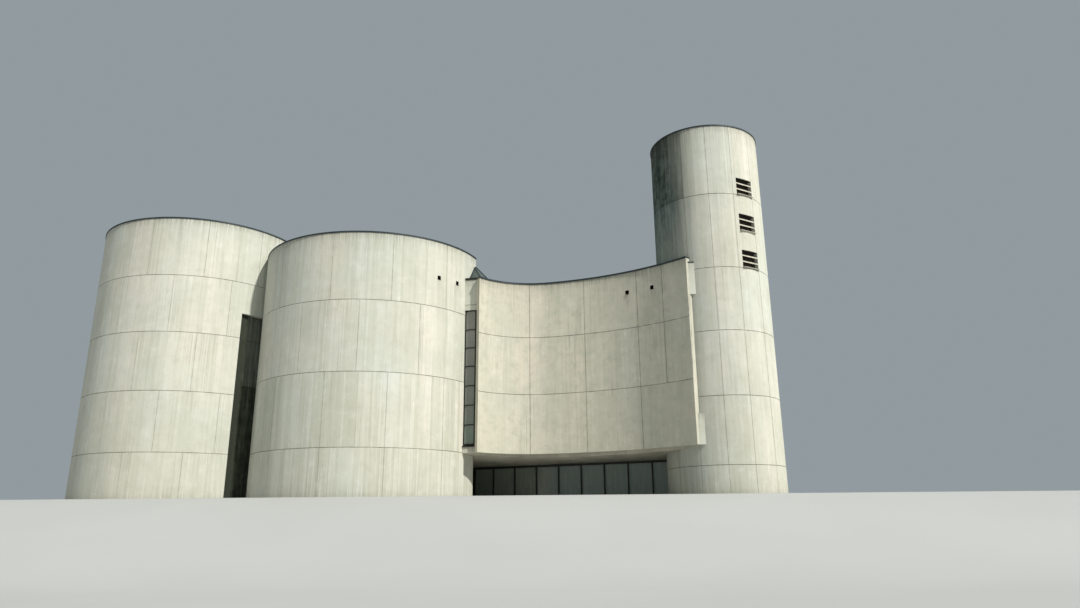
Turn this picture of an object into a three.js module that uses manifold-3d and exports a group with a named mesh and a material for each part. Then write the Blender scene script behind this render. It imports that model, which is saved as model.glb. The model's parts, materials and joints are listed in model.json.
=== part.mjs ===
// A modern church of fair-faced concrete: curved walls of several heights round one hall, with glazed slots
// between them, a concave wall that floats over the entrance and a round bell tower beside it.
// Millimetres and degrees, +Z up, the entrance front faces -Y. Plan angles turn counter-clockwise from +X,
// so -90 looks to the front. Plans are laid out from a point near the centre of the main drum, and at the end
// everything is moved so that the origin is the middle of the rectangle that the building stands on.

import * as THREE from "three";
import { mergeVertices } from "three/addons/utils/BufferGeometryUtils.js";
import { ConvexGeometry } from "three/addons/geometries/ConvexGeometry.js";
import Module from "manifold-3d";

const wasm = await Module();
wasm.setup();

// Clearance between pieces that touch
const GAP = 0.3;

// Walls and copings
const WALL = 300;
const COPING_OVERHANG = 30;
const COPING = 80;
const HALL_COPING = 100;

// Levels
const UNDERSIDE = 2430;
const HALL_TOP = 12330;
const MAIN_TOP = 14045;
const LEFT_TOP = 15650;
const TOWER_TOP = 19960;
const SLAB = 300;
const HALL_ROOF = 11000;
const MAIN_ROOF = 11600;
const LEFT_ROOF = 13300;
const TOWER_ROOF = 19300;
const UPPER_WALL_FOOT = 10400;
const FLOOR_TOP = 150;
const GALLERY_TOP = 2750;
const ENTRANCE_HEAD = 2090;
const SOFFIT_AT_DOORS = 2100;
const SOFFIT_RISE = 330;
const SOFFIT_RUN = 5900;
const FAR = 12000;

// Round plans: centre, outer radius, and the turn of one facet
const MAIN = { x: -105, y: 477, r: 6498, step: 5 };
const LEFT = { x: -11212, y: 1458, r: 5811, step: 5 };
const TOWER = { x: 19620, y: -3530, r: 3040, step: 7.5 };
const REAR_LEFT = { x: -8000, y: 9000, r: 6000, step: 5 };
const REAR_RIGHT = { x: 13200, y: 5700, r: 8300, step: 5 };
const REAR_MIDDLE = { x: 1800, y: 19000, r: 9000, step: 4 };

// Ends of the round walls
const MAIN_ENDS = { right: -17, middle: [-65, -120], left: -174 };
const LEFT_ENDS = { front: -44.7, middle: [-115, -185], rear: -252 };
const REAR_LEFT_ENDS = { start: 14.4, middle: 115, end: 215 };
const REAR_RIGHT_ENDS = { start: -56, middle: [5, 75], end: 143 };
const REAR_MIDDLE_ENDS = { start: 248, end: 296 };
const TOWER_SPLITS = [-105, -15, 75, 165, 255];

// The concave hall wall: a tight arc at the left runs on into a wide one. The radii are its visible face's.
const BEND = 76.8;
const TIGHT = { x: 9440, y: -5610, r: 3830, from: 140.6, step: 5, phase: BEND };
const WIDE_R = 14090;
const WIDE = {
  x: TIGHT.x + (TIGHT.r - WIDE_R) * Math.cos(rad(BEND)),
  y: TIGHT.y + (TIGHT.r - WIDE_R) * Math.sin(rad(BEND)),
  r: WIDE_R,
  to: 41.4,
  step: 2.5,
  phase: BEND,
};
const HALL_PANELS = ["left", "middle_left", "middle_right", "right"];

// The way that the left end of the hall wall is cut, from its visible corner backwards
const HALL_END_ANGLE = 121;

// The narrow glazed recess between the main drum and the hall wall
const RECESS_AT = -28.36;
const RECESS = {
  hallEnd: [6283, -2762],
  front: 0,
  back: 200,
  start: -100,
  reach: 1050,
  apron: [UNDERSIDE, 2756],
  sill: [2756, 2866],
  sillDepth: [-50, 120],
  window: [2866, 10460],
  lintel: [10460, 12266],
  bars: [3956, 5035, 6114, 7213, 8272, 9321],
  barHeight: 45,
  stiles: [80, 617],
  frame: [50, 100],
  edge: 60,
  glass: 20,
};

// The metal roof over it: the heights of its upper corners, and how far along the hall wall it reaches
const RECESS_ROOF = {
  apex: 13600,
  eaves: 12080,
  eavesAt: 205,
  top: 12340,
  topAt: 450,
  foot: 11700,
  footAt: 1700,
  behind: [[6900, 900], [5600, 1200]],
};

// The slot between the hall wall and the tower
const SLOT = {
  left: 17660,
  right: 18500,
  front: -6175,
  back: -6000,
  glass: [-6060, -6040],
  lower: 3980,
  upper: 10250,
  top: 12000,
};

// The panel that closes the recess between the left drum and the main drum
const LEFT_RECESS = {
  mainAngle: -164.6,
  inset: 150,
  depth: 150,
  reach: [-100, 200],
};

// The glazed entrance front under the hall wall, from the end of the side wall to the tower
const ENTRANCE = {
  start: [5700, 3446],
  towerAngle: 136.3,
  bays: 9,
  post: 60,
  endPosts: [160, 100],
  depth: 120,
  rail: 100,
  glass: 20,
};
const SIDE_WALL_REACH = 150;

// Louvred openings of the tower
const LOUVRE = {
  angle: -59.25,
  width: 1140,
  height: 1100,
  foot: { upper: 15810, middle: 13720, lower: 11620 },
  frame: 50,
  inner: 2780,
  outer: 3010,
  blades: 3,
  bladeDepth: 260,
  bladeThickness: 40,
  bladeTilt: 35,
  sillReach: 3110,
};

// Colours are 0xRRGGBB
const CONCRETE = new THREE.MeshStandardMaterial({ color: 0xcfcab4, roughness: 0.9, metalness: 0 });
const SLAB_CONCRETE = new THREE.MeshStandardMaterial({ color: 0xa9a79b, roughness: 0.9, metalness: 0 });
const ROOFING = new THREE.MeshStandardMaterial({ color: 0x6f6c64, roughness: 0.95, metalness: 0 });
const COPING_METAL = new THREE.MeshStandardMaterial({ color: 0x2d3f48, roughness: 0.5, metalness: 0.6 });
const SHEET_METAL = new THREE.MeshStandardMaterial({ color: 0x66746f, roughness: 0.55, metalness: 0.5 });
const FRAME_METAL = new THREE.MeshStandardMaterial({ color: 0x22282a, roughness: 0.5, metalness: 0.6 });
const LOUVRE_METAL = new THREE.MeshStandardMaterial({ color: 0xb9b7a6, roughness: 0.6, metalness: 0.3 });
const GLASS = new THREE.MeshStandardMaterial({ color: 0x5a625e, roughness: 0.1, metalness: 0 });

function rad(degrees) {
  return (degrees * Math.PI) / 180;
}

// A point of a round plan at a radius and angle
function polar(circle, r, angle) {
  return [circle.x + r * Math.cos(rad(angle)), circle.y + r * Math.sin(rad(angle))];
}

// The same, on the chords between the facet corners, so that walls, slabs and copings of one drum fit
function onFacet(circle, r, angle) {
  const phase = circle.phase ?? 0;
  const middle = (Math.floor((angle - phase) / circle.step + 1e-9) + 0.5) * circle.step + phase;
  const reach = (r * Math.cos(rad(circle.step / 2))) / Math.cos(rad(angle - middle));
  return polar(circle, reach, angle);
}

// Plan points along a faceted arc, either way round
function arc(circle, r, from, to) {
  const phase = circle.phase ?? 0;
  const turn = Math.sign(to - from);
  const near = 0.05;
  const first = Math.floor((Math.min(from, to) - phase) / circle.step);
  const last = Math.ceil((Math.max(from, to) - phase) / circle.step);
  const corners = [];
  for (let k = first; k <= last; k += 1) {
    const angle = phase + k * circle.step;
    const inside = angle > Math.min(from, to) + near && angle < Math.max(from, to) - near;
    if (inside) corners.push(polar(circle, r, angle));
  }
  if (turn < 0) corners.reverse();
  return [onFacet(circle, r, from), ...corners, onFacet(circle, r, to)];
}

// A closed geometry as a solid for cutting and joining
function solidOf(geometry) {
  const bare = geometry.clone();
  bare.deleteAttribute("normal");
  bare.deleteAttribute("uv");
  const merged = mergeVertices(bare, 1e-3);
  return new wasm.Manifold(
    new wasm.Mesh({
      numProp: 3,
      vertProperties: new Float32Array(merged.attributes.position.array),
      triVerts: new Uint32Array(merged.index.array),
    }),
  );
}

// An upright prism over a plan outline
function prism(points, z0, z1) {
  const near = 0.5;
  const outline = points.filter((p, i) => {
    const q = points[(i + 1) % points.length];
    return Math.hypot(p[0] - q[0], p[1] - q[1]) > near;
  });
  const shape = new THREE.Shape(outline.map(([x, y]) => new THREE.Vector2(x, y)));
  const geometry = new THREE.ExtrudeGeometry(shape, { depth: z1 - z0, bevelEnabled: false });
  return solidOf(geometry.translate(0, 0, z0));
}

// The convex solid round a set of corners
function hull(points) {
  return solidOf(new ConvexGeometry(points.map(([x, y, z]) => new THREE.Vector3(x, y, z))));
}

// A length of curved wall, and the full round plan
function ring(circle, r0, r1, from, to, z0, z1) {
  return prism([...arc(circle, r1, from, to), ...arc(circle, r0, to, from)], z0, z1);
}

function disc(circle, r, z0, z1) {
  const count = 360 / circle.step;
  const corners = Array.from({ length: count }, (_, k) => polar(circle, r, k * circle.step));
  return prism(corners, z0, z1);
}

// A drum wall from one angle up to another, short of each end by half the clearance
function drumWall(circle, from, to, z0, z1) {
  const trim = (GAP / 2 / circle.r) * (180 / Math.PI);
  return ring(circle, circle.r - WALL, circle.r, from + trim, to - trim, z0, z1);
}

// The space that a drum wall fills, with clearance round it
function roundWall(circle, from, to, z0, z1) {
  const grow = (GAP / circle.r) * (180 / Math.PI);
  return ring(circle, circle.r - WALL - GAP, circle.r + GAP, from - grow, to + grow, z0 - GAP, z1 + GAP);
}

// The coping on a length of drum wall
function copingRing(circle, r0, r1, from, to, top, height) {
  return ring(circle, r0 - COPING_OVERHANG, r1 + COPING_OVERHANG, from, to, top - height, top);
}

// A straight line in plan as a small frame: u along it, v to its left
function lineFrame(start, end) {
  const length = Math.hypot(end[0] - start[0], end[1] - start[1]);
  const ux = (end[0] - start[0]) / length;
  const uy = (end[1] - start[1]) / length;
  const at = (u, v) => [start[0] + u * ux - v * uy, start[1] + u * uy + v * ux];
  const box = (u0, u1, v0, v1, z0, z1) => prism([at(u0, v0), at(u1, v0), at(u1, v1), at(u0, v1)], z0, z1);
  return { length, at, box };
}

// A flat frame on a plan line, from v0 back to v1: posts are spans along the line, rails are spans of height
function flatFrame(line, posts, rails, v0, v1) {
  let frame = line.box(posts[0][0], posts.at(-1)[1], v0, v1, rails[0][0], rails.at(-1)[1]);
  for (let i = 1; i < posts.length; i += 1) {
    for (let k = 1; k < rails.length; k += 1) {
      const across = [posts[i - 1][1], posts[i][0]];
      frame = frame.subtract(line.box(...across, v0 - 10, v1 + 10, rails[k - 1][1], rails[k][0]));
    }
  }
  return frame;
}

// The hall wall's plan line at a distance behind its visible face, by length from its left end
const TIGHT_LENGTH = rad(TIGHT.from - BEND) * TIGHT.r;
const HALL_LENGTH = TIGHT_LENGTH + rad(BEND - WIDE.to) * WIDE.r;

function hallLine(behind, from, to) {
  const tightAngle = (s) => TIGHT.from - (s / TIGHT.r) * (180 / Math.PI);
  const wideAngle = (s) => BEND - ((s - TIGHT_LENGTH) / WIDE.r) * (180 / Math.PI);
  const points = [];
  if (from < TIGHT_LENGTH) {
    const end = Math.min(to, TIGHT_LENGTH);
    points.push(...arc(TIGHT, TIGHT.r + behind, tightAngle(from), tightAngle(end)));
  }
  if (to > TIGHT_LENGTH) {
    const start = Math.max(from, TIGHT_LENGTH);
    points.push(...arc(WIDE, WIDE.r + behind, wideAngle(start), wideAngle(to)));
  }
  return points;
}

function hallStrip(behind0, behind1, from, to, z0, z1) {
  return prism([...hallLine(behind0, from, to), ...hallLine(behind1, from, to).reverse()], z0, z1);
}

// Cuts the left end of the hall wall, or of a piece that follows it
function cutHallEnd(solid, clearance) {
  return solid.subtract(hallEndLine.box(-2 * WALL, 4 * WALL, clearance, 4 * WALL, -GAP, HALL_TOP + GAP));
}

// The space that the hall wall and its coping fill, with clearance round them
function hallSpace() {
  const wall = hallStrip(-GAP, WALL + GAP, -GAP, HALL_LENGTH + GAP, UNDERSIDE - GAP, HALL_TOP);
  const out = COPING_OVERHANG + GAP;
  const coping = hallStrip(-out, WALL + out, -out, HALL_LENGTH, HALL_TOP - HALL_COPING - GAP, HALL_TOP);
  return cutHallEnd(wall, GAP).add(cutHallEnd(coping, out));
}

const building = new THREE.Group();

// Adds a solid to the building as a named mesh
function add(name, solid, material) {
  const mesh = solid.getMesh();
  const stride = mesh.numProp;
  const positions = new Float32Array(mesh.numVert * 3);
  for (let i = 0; i < mesh.numVert; i += 1) {
    positions.set(mesh.vertProperties.subarray(i * stride, i * stride + 3), i * 3);
  }
  const indexed = new THREE.BufferGeometry();
  indexed.setAttribute("position", new THREE.BufferAttribute(positions, 3));
  indexed.setIndex(new THREE.BufferAttribute(new Uint32Array(mesh.triVerts), 1));
  const geometry = indexed.toNonIndexed();
  geometry.computeVertexNormals();
  const part = new THREE.Mesh(geometry, material);
  part.name = name;
  building.add(part);
}

// Frames that several pieces share
const hallCorner = hallLine(0, 0, 1)[0];
const hallEnd = { x: hallCorner[0], y: hallCorner[1] };
const hallEndLine = lineFrame(hallCorner, polar(hallEnd, WALL, HALL_END_ANGLE));
const recessLine = lineFrame(polar(MAIN, MAIN.r, RECESS_AT), RECESS.hallEnd);
const sideLine = lineFrame(onFacet(MAIN, MAIN.r, MAIN_ENDS.right), ENTRANCE.start);
const entranceLine = lineFrame(ENTRANCE.start, polar(TOWER, TOWER.r, ENTRANCE.towerAngle));
const towerSpace = disc(TOWER, TOWER.r + GAP, -GAP, TOWER_TOP + GAP);
const mainSpace = disc(MAIN, MAIN.r + GAP, -GAP, MAIN_TOP + GAP);
const leftSpace = disc(LEFT, LEFT.r + GAP, -GAP, LEFT_TOP + GAP);
const recessReach = [2 * RECESS.start, RECESS.reach];
const recessSpace = recessLine.box(...recessReach, -500, RECESS.back + GAP, -GAP, LEFT_TOP);
const slotPlan = (y0, y1) => [[SLOT.left, y0], [SLOT.right, y0], [SLOT.right, y1], [SLOT.left, y1]];
const slotSpace = prism(slotPlan(SLOT.front - 400, SLOT.back + 150), -GAP, LEFT_TOP);

// All that lies on the drum's side of the straight side wall, the wall itself included
const alongSide = sideLine.length + 2 * MAIN.r;
const drumSide = mainSpace
  .subtract(sideLine.box(0, alongSide, -MAIN.r, -GAP, -FAR, 2 * FAR))
  .add(sideLine.box(-GAP, alongSide, -GAP, MAIN.r, -GAP, MAIN_TOP + GAP));

function addMainDrum() {
  const wallTop = MAIN_TOP - COPING - GAP;
  const { right, middle, left } = MAIN_ENDS;
  const overLeftDrum = disc(LEFT, LEFT.r + GAP, UPPER_WALL_FOOT - GAP, LEFT_TOP);
  add("main_drum_wall_right", drumWall(MAIN, middle[0], right, 0, wallTop), CONCRETE);
  add("main_drum_wall_front", drumWall(MAIN, middle[1], middle[0], 0, wallTop), CONCRETE);
  const leftWall = drumWall(MAIN, left, middle[1], 0, wallTop).subtract(overLeftDrum);
  add("main_drum_wall_left", leftWall, CONCRETE);
  const coping = copingRing(MAIN, MAIN.r - WALL, MAIN.r, left, right, MAIN_TOP, COPING);
  add("main_drum_coping", coping.subtract(leftSpace), COPING_METAL);

  const inner = MAIN.r - WALL - GAP;
  const slab = disc(MAIN, inner, MAIN_ROOF - SLAB, MAIN_ROOF);
  const kerb = ring(MAIN, inner - WALL, MAIN.r, right + 0.1, -left, HALL_ROOF - SLAB, MAIN_ROOF);
  add("main_drum_roof", slab.add(kerb).subtract(leftSpace), ROOFING);
}

function addLeftDrum() {
  const wallTop = LEFT_TOP - COPING - GAP;
  const { front, middle, rear } = LEFT_ENDS;
  add("left_drum_wall_front", drumWall(LEFT, middle[0], front, 0, wallTop), CONCRETE);
  add("left_drum_wall_side", drumWall(LEFT, middle[1], middle[0], 0, wallTop), CONCRETE);
  add("left_drum_wall_rear", drumWall(LEFT, rear, middle[1], 0, wallTop), CONCRETE);
  add("left_drum_upper_wall", drumWall(LEFT, front, rear + 360, UPPER_WALL_FOOT, wallTop), CONCRETE);
  const outer = disc(LEFT, LEFT.r + COPING_OVERHANG, LEFT_TOP - COPING, LEFT_TOP);
  const opening = disc(LEFT, LEFT.r - WALL - COPING_OVERHANG, LEFT_TOP - 2 * COPING, LEFT_TOP + COPING);
  add("left_drum_coping", outer.subtract(opening), COPING_METAL);
  add("left_drum_roof", disc(LEFT, LEFT.r - WALL - GAP, LEFT_ROOF - SLAB, LEFT_ROOF), ROOFING);
}

function addHallWall() {
  const panel = HALL_LENGTH / HALL_PANELS.length;
  const top = HALL_TOP - HALL_COPING - GAP;
  HALL_PANELS.forEach((side, i) => {
    const from = i * panel + GAP / 2;
    const to = (i + 1) * panel - GAP / 2;
    const wall = hallStrip(0, WALL, from, to, UNDERSIDE, top).subtract(towerSpace);
    add("hall_wall_" + side, side === "left" ? cutHallEnd(wall, 0) : wall, CONCRETE);
  });
  const out = COPING_OVERHANG;
  const coping = hallStrip(-out, WALL + out, -out, HALL_LENGTH, HALL_TOP - HALL_COPING, HALL_TOP);
  add("hall_wall_coping", cutHallEnd(coping.subtract(towerSpace), out), COPING_METAL);
}

// Everything in the recess is cut back from the round wall on its left and the end of the hall wall
function fitInRecess(solid) {
  return solid.subtract(mainSpace).subtract(hallSpace());
}

function recessBlock([z0, z1]) {
  const { front, back, start, reach } = RECESS;
  return fitInRecess(recessLine.box(start, reach, front, back, z0 + GAP, z1 - GAP));
}

function addRecess() {
  const { window, frame, glass, bars, barHeight, stiles, sillDepth, edge, start, reach } = RECESS;
  const [foot, head] = window;
  add("recess_apron", recessBlock(RECESS.apron), CONCRETE);
  add("recess_lintel", recessBlock(RECESS.lintel), CONCRETE);
  const sill = recessLine.box(start, reach, ...sillDepth, ...RECESS.sill);
  add("recess_sill", fitInRecess(sill), COPING_METAL);

  const posts = [[start, stiles[0]], [stiles[1], reach]];
  const rails = [
    [foot + GAP, foot + edge],
    ...bars.map((z) => [z - barHeight / 2, z + barHeight / 2]),
    [head - edge, head - GAP],
  ];
  add("recess_window_frame", fitInRecess(flatFrame(recessLine, posts, rails, ...frame)), FRAME_METAL);
  const inside = [frame[1] + GAP, frame[1] + glass];
  const pane = recessLine.box(start, reach, ...inside, foot + GAP, head - GAP);
  add("recess_glass", fitInRecess(pane), GLASS);
}

// The small metal roof that climbs from the recess to the end of the main drum's wall
function addRecessRoof() {
  const onRoof = HALL_ROOF + GAP;
  const { at } = recessLine;
  const wallEnd = polar(MAIN, MAIN.r - WALL / 2, MAIN_ENDS.right);
  const hallBack = (s) => hallLine(WALL + COPING_OVERHANG + 5, s, s + 1)[0];
  const { apex, eaves, eavesAt, top, topAt, foot, footAt, behind } = RECESS_ROOF;
  const front = [at(0, eavesAt), at(RECESS.reach, eavesAt)];
  const corners = [
    [...wallEnd, apex],
    ...front.flatMap((p) => [[...p, eaves], [...p, onRoof]]),
    [...hallBack(topAt), top],
    [...hallBack(footAt), foot],
    [...hallBack(footAt), onRoof],
    [...behind[0], onRoof],
    [...behind[1], MAIN_ROOF],
  ];
  const wallAbove = roundWall(MAIN, MAIN_ENDS.middle[0], MAIN_ENDS.right, 0, MAIN_TOP);
  const drumRoof = disc(MAIN, MAIN.r + GAP, 0, MAIN_ROOF + GAP);
  const lintelTop = recessLine.box(...recessReach, -500, RECESS.back + GAP, 0, RECESS.lintel[1] + GAP);
  const roof = hull(corners).subtract(wallAbove).subtract(drumRoof).subtract(lintelTop);
  const hallWallTop = hallStrip(-50, WALL + 32, -GAP, HALL_LENGTH, UNDERSIDE, HALL_TOP + GAP);
  add("recess_roof", roof.subtract(hallWallTop), SHEET_METAL);
}

function addTowerSlot() {
  const fit = (y0, y1, z0, z1) => prism(slotPlan(y0, y1), z0, z1).subtract(hallSpace()).subtract(towerSpace);
  const { front, back, glass, lower, upper, top } = SLOT;
  add("tower_slot_lower_block", fit(front, back, UNDERSIDE, lower), CONCRETE);
  add("tower_slot_upper_block", fit(front, back, upper, top), CONCRETE);
  add("tower_slot_glass", fit(glass[0], glass[1], lower + GAP, upper - GAP), GLASS);
}

function addLeftRecess() {
  const { mainAngle, inset, depth, reach } = LEFT_RECESS;
  const start = polar(LEFT, LEFT.r - inset, LEFT_ENDS.front);
  const end = polar(MAIN, MAIN.r, mainAngle);
  const line = lineFrame(start, end);
  const top = UPPER_WALL_FOOT - GAP;
  const leftWall = roundWall(LEFT, LEFT_ENDS.middle[0], LEFT_ENDS.front, 0, LEFT_TOP);
  const panel = line.box(reach[0], line.length + reach[1], 0, depth, 0, top);
  add("left_recess_panel", panel.subtract(leftWall).subtract(mainSpace), CONCRETE);
  return line.box(-150, line.length + 250, -GAP, depth + GAP, -GAP, top);
}

// The slab over the entrance. Its underside slopes down from the hall wall to the glazed front.
function addEntrance() {
  const { bays, post, endPosts, depth, rail, glass } = ENTRANCE;
  const { at, box, length } = entranceLine;
  const back = depth / 2 + 90;
  const slabPlan = [
    at(-1000, back),
    at(length + 1000, back),
    [TOWER.x, TOWER.y],
    ...hallLine(WALL + GAP, 0, HALL_LENGTH).reverse(),
    [MAIN.x, MAIN.y],
  ];
  const slope = SOFFIT_RISE / SOFFIT_RUN;
  const under = (v) => SOFFIT_AT_DOORS - slope * v;
  const corner = (u, v, z) => [...at(u, v), z];
  const below = hull([
    corner(-FAR, FAR, 0),
    corner(-FAR, -FAR, 0),
    corner(length + FAR, FAR, 0),
    corner(length + FAR, -FAR, 0),
    corner(-FAR, FAR, under(FAR)),
    corner(-FAR, -FAR, under(-FAR)),
    corner(length + FAR, FAR, under(FAR)),
    corner(length + FAR, -FAR, under(-FAR)),
  ]);
  const slab = prism(slabPlan, SOFFIT_AT_DOORS - SLAB, GALLERY_TOP)
    .subtract(below)
    .subtract(drumSide)
    .subtract(towerSpace)
    .subtract(recessSpace)
    .subtract(slotSpace);
  add("entrance_soffit", slab, SLAB_CONCRETE);
  const drumWallEnd = roundWall(MAIN, MAIN_ENDS.middle[0], MAIN_ENDS.right, 0, MAIN_TOP);
  const sideWall = sideLine.box(0, sideLine.length + SIDE_WALL_REACH, 0, WALL, 0, GALLERY_TOP);
  add("entrance_side_wall", sideWall.subtract(drumWallEnd), CONCRETE);

  const fit = (solid) => solid.subtract(drumSide).subtract(towerSpace);
  const half = depth / 2;
  const posts = [[-200, endPosts[0]]];
  for (let k = 1; k < bays; k += 1) {
    const u = (k * length) / bays;
    posts.push([u - post / 2, u + post / 2]);
  }
  posts.push([length - endPosts[1], length + 60]);
  const rails = [[0, rail], [ENTRANCE_HEAD - rail, ENTRANCE_HEAD]];
  add("entrance_front_frame", fit(flatFrame(entranceLine, posts, rails, -half, half)), FRAME_METAL);
  add("entrance_glass", fit(box(0, length, half + GAP, half + glass, 0, ENTRANCE_HEAD)), GLASS);
}

// One louvre opening, in a frame that looks out along the opening's angle: x across, y outwards
function louvreBox(width, r0, r1, z0, z1) {
  const geometry = new THREE.BoxGeometry(width, r1 - r0, z1 - z0);
  geometry.translate(0, (r0 + r1) / 2, (z0 + z1) / 2);
  return geometry;
}

function towerPlaced(geometry) {
  geometry.rotateZ(rad(LOUVRE.angle - 90));
  geometry.translate(TOWER.x, TOWER.y, 0);
  return solidOf(geometry);
}

function louvrePanel(foot) {
  const { width, height, frame, inner, outer, blades, bladeDepth, bladeThickness, bladeTilt } = LOUVRE;
  const w = width - 2 * GAP;
  const z0 = foot + GAP;
  const z1 = foot + height - GAP;
  let panel = towerPlaced(louvreBox(w, inner, LOUVRE.sillReach, z0, z0 + frame));
  panel = panel.add(towerPlaced(louvreBox(w, inner, outer, z1 - frame, z1)));
  for (const side of [-1, 1]) {
    const stile = louvreBox(frame, inner, outer, z0, z1);
    stile.translate((side * (w - frame)) / 2, 0, 0);
    panel = panel.add(towerPlaced(stile));
  }
  const pitch = (height - 2 * frame) / blades;
  for (let k = 0; k < blades; k += 1) {
    const blade = new THREE.BoxGeometry(w - frame, bladeDepth, bladeThickness);
    blade.rotateX(rad(-bladeTilt));
    blade.translate(0, (inner + outer) / 2, foot + frame + (k + 0.5) * pitch);
    panel = panel.add(towerPlaced(blade));
  }
  return panel;
}

function addTower() {
  const wallTop = TOWER_TOP - COPING - GAP;
  const names = ["front", "right", "rear", "left"];
  names.forEach((side, i) => {
    let wall = drumWall(TOWER, TOWER_SPLITS[i], TOWER_SPLITS[i + 1], 0, wallTop);
    if (side === "front") {
      for (const foot of Object.values(LOUVRE.foot)) {
        const hole = louvreBox(LOUVRE.width, 2000, 4000, foot, foot + LOUVRE.height);
        wall = wall.subtract(towerPlaced(hole));
      }
    }
    add("tower_wall_" + side, wall, CONCRETE);
  });
  for (const [place, foot] of Object.entries(LOUVRE.foot)) {
    add("tower_louvre_" + place, louvrePanel(foot), LOUVRE_METAL);
  }
  const outer = disc(TOWER, TOWER.r + COPING_OVERHANG, TOWER_TOP - COPING, TOWER_TOP);
  const opening = disc(TOWER, TOWER.r - WALL - COPING_OVERHANG, TOWER_TOP - 2 * COPING, TOWER_TOP + COPING);
  add("tower_coping", outer.subtract(opening), COPING_METAL);
  add("tower_roof", disc(TOWER, TOWER.r - WALL - GAP, TOWER_ROOF - SLAB, TOWER_ROOF), ROOFING);
}

// Glass from the end of one rear wall to the end of the next
const slotLeft = lineFrame(
  polar(REAR_LEFT, REAR_LEFT.r - WALL / 2, REAR_LEFT_ENDS.start),
  polar(REAR_MIDDLE, REAR_MIDDLE.r + WALL / 2, REAR_MIDDLE_ENDS.start),
);
const slotRight = lineFrame(
  polar(REAR_MIDDLE, REAR_MIDDLE.r + WALL / 2, REAR_MIDDLE_ENDS.end),
  polar(REAR_RIGHT, REAR_RIGHT.r - WALL / 2, REAR_RIGHT_ENDS.end),
);

function rearMiddleRing(r0, r1, from, to, z0, z1) {
  return ring(REAR_MIDDLE, r0, r1, from, to, z0, z1);
}

function addRear() {
  const top = HALL_TOP - HALL_COPING - GAP;
  const left = REAR_LEFT_ENDS;
  const right = REAR_RIGHT_ENDS;
  const middle = REAR_MIDDLE_ENDS;
  add("rear_left_wall_back", drumWall(REAR_LEFT, left.start, left.middle, 0, top), CONCRETE);
  const sideWall = drumWall(REAR_LEFT, left.middle, left.end, 0, top).subtract(leftSpace);
  add("rear_left_wall_side", sideWall, CONCRETE);
  const nearTower = drumWall(REAR_RIGHT, right.start, right.middle[0], 0, top).subtract(towerSpace);
  add("rear_right_wall_side", nearTower, CONCRETE);
  add("rear_right_wall_corner", drumWall(REAR_RIGHT, right.middle[0], right.middle[1], 0, top), CONCRETE);
  add("rear_right_wall_back", drumWall(REAR_RIGHT, right.middle[1], right.end, 0, top), CONCRETE);
  const r = REAR_MIDDLE.r;
  add("rear_middle_wall", rearMiddleRing(r, r + WALL, middle.start, middle.end, 0, top), CONCRETE);

  const z0 = HALL_TOP - HALL_COPING;
  const lay = (circle, r0, { start, end }) =>
    copingRing(circle, r0, r0 + WALL, start, end, HALL_TOP, HALL_COPING);
  let coping = lay(REAR_LEFT, REAR_LEFT.r - WALL, left)
    .add(lay(REAR_MIDDLE, r, middle))
    .add(lay(REAR_RIGHT, REAR_RIGHT.r - WALL, right));
  for (const slot of [slotLeft, slotRight]) {
    coping = coping.add(slot.box(-150, slot.length + 150, -120, 120, z0, HALL_TOP));
  }
  add("rear_coping", coping.subtract(leftSpace).subtract(towerSpace), COPING_METAL);

  const ends = roundWall(REAR_LEFT, left.start, left.middle, 0, top)
    .add(roundWall(REAR_RIGHT, right.middle[1], right.end, 0, top))
    .add(rearMiddleRing(r - GAP, r + WALL + GAP, middle.start - 0.002, middle.end + 0.002, -GAP, top));
  const pane = (slot) => slot.box(-100, slot.length + 100, -15, 15, 0, top).subtract(ends);
  add("rear_slot_glass_left", pane(slotLeft), GLASS);
  add("rear_slot_glass_right", pane(slotRight), GLASS);
}

// Plan of the hall inside its rear walls, closed at the front by the points given
function hallPlan(front) {
  const inset = WALL + GAP;
  return [
    ...front,
    [TOWER.x, TOWER.y],
    ...arc(REAR_RIGHT, REAR_RIGHT.r - inset, REAR_RIGHT_ENDS.start, REAR_RIGHT_ENDS.end),
    ...arc(REAR_MIDDLE, REAR_MIDDLE.r + inset, REAR_MIDDLE_ENDS.end, REAR_MIDDLE_ENDS.start),
    ...arc(REAR_LEFT, REAR_LEFT.r - inset, REAR_LEFT_ENDS.start, REAR_LEFT_ENDS.end),
    [LEFT.x, LEFT.y],
    [MAIN.x, MAIN.y],
  ];
}

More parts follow.
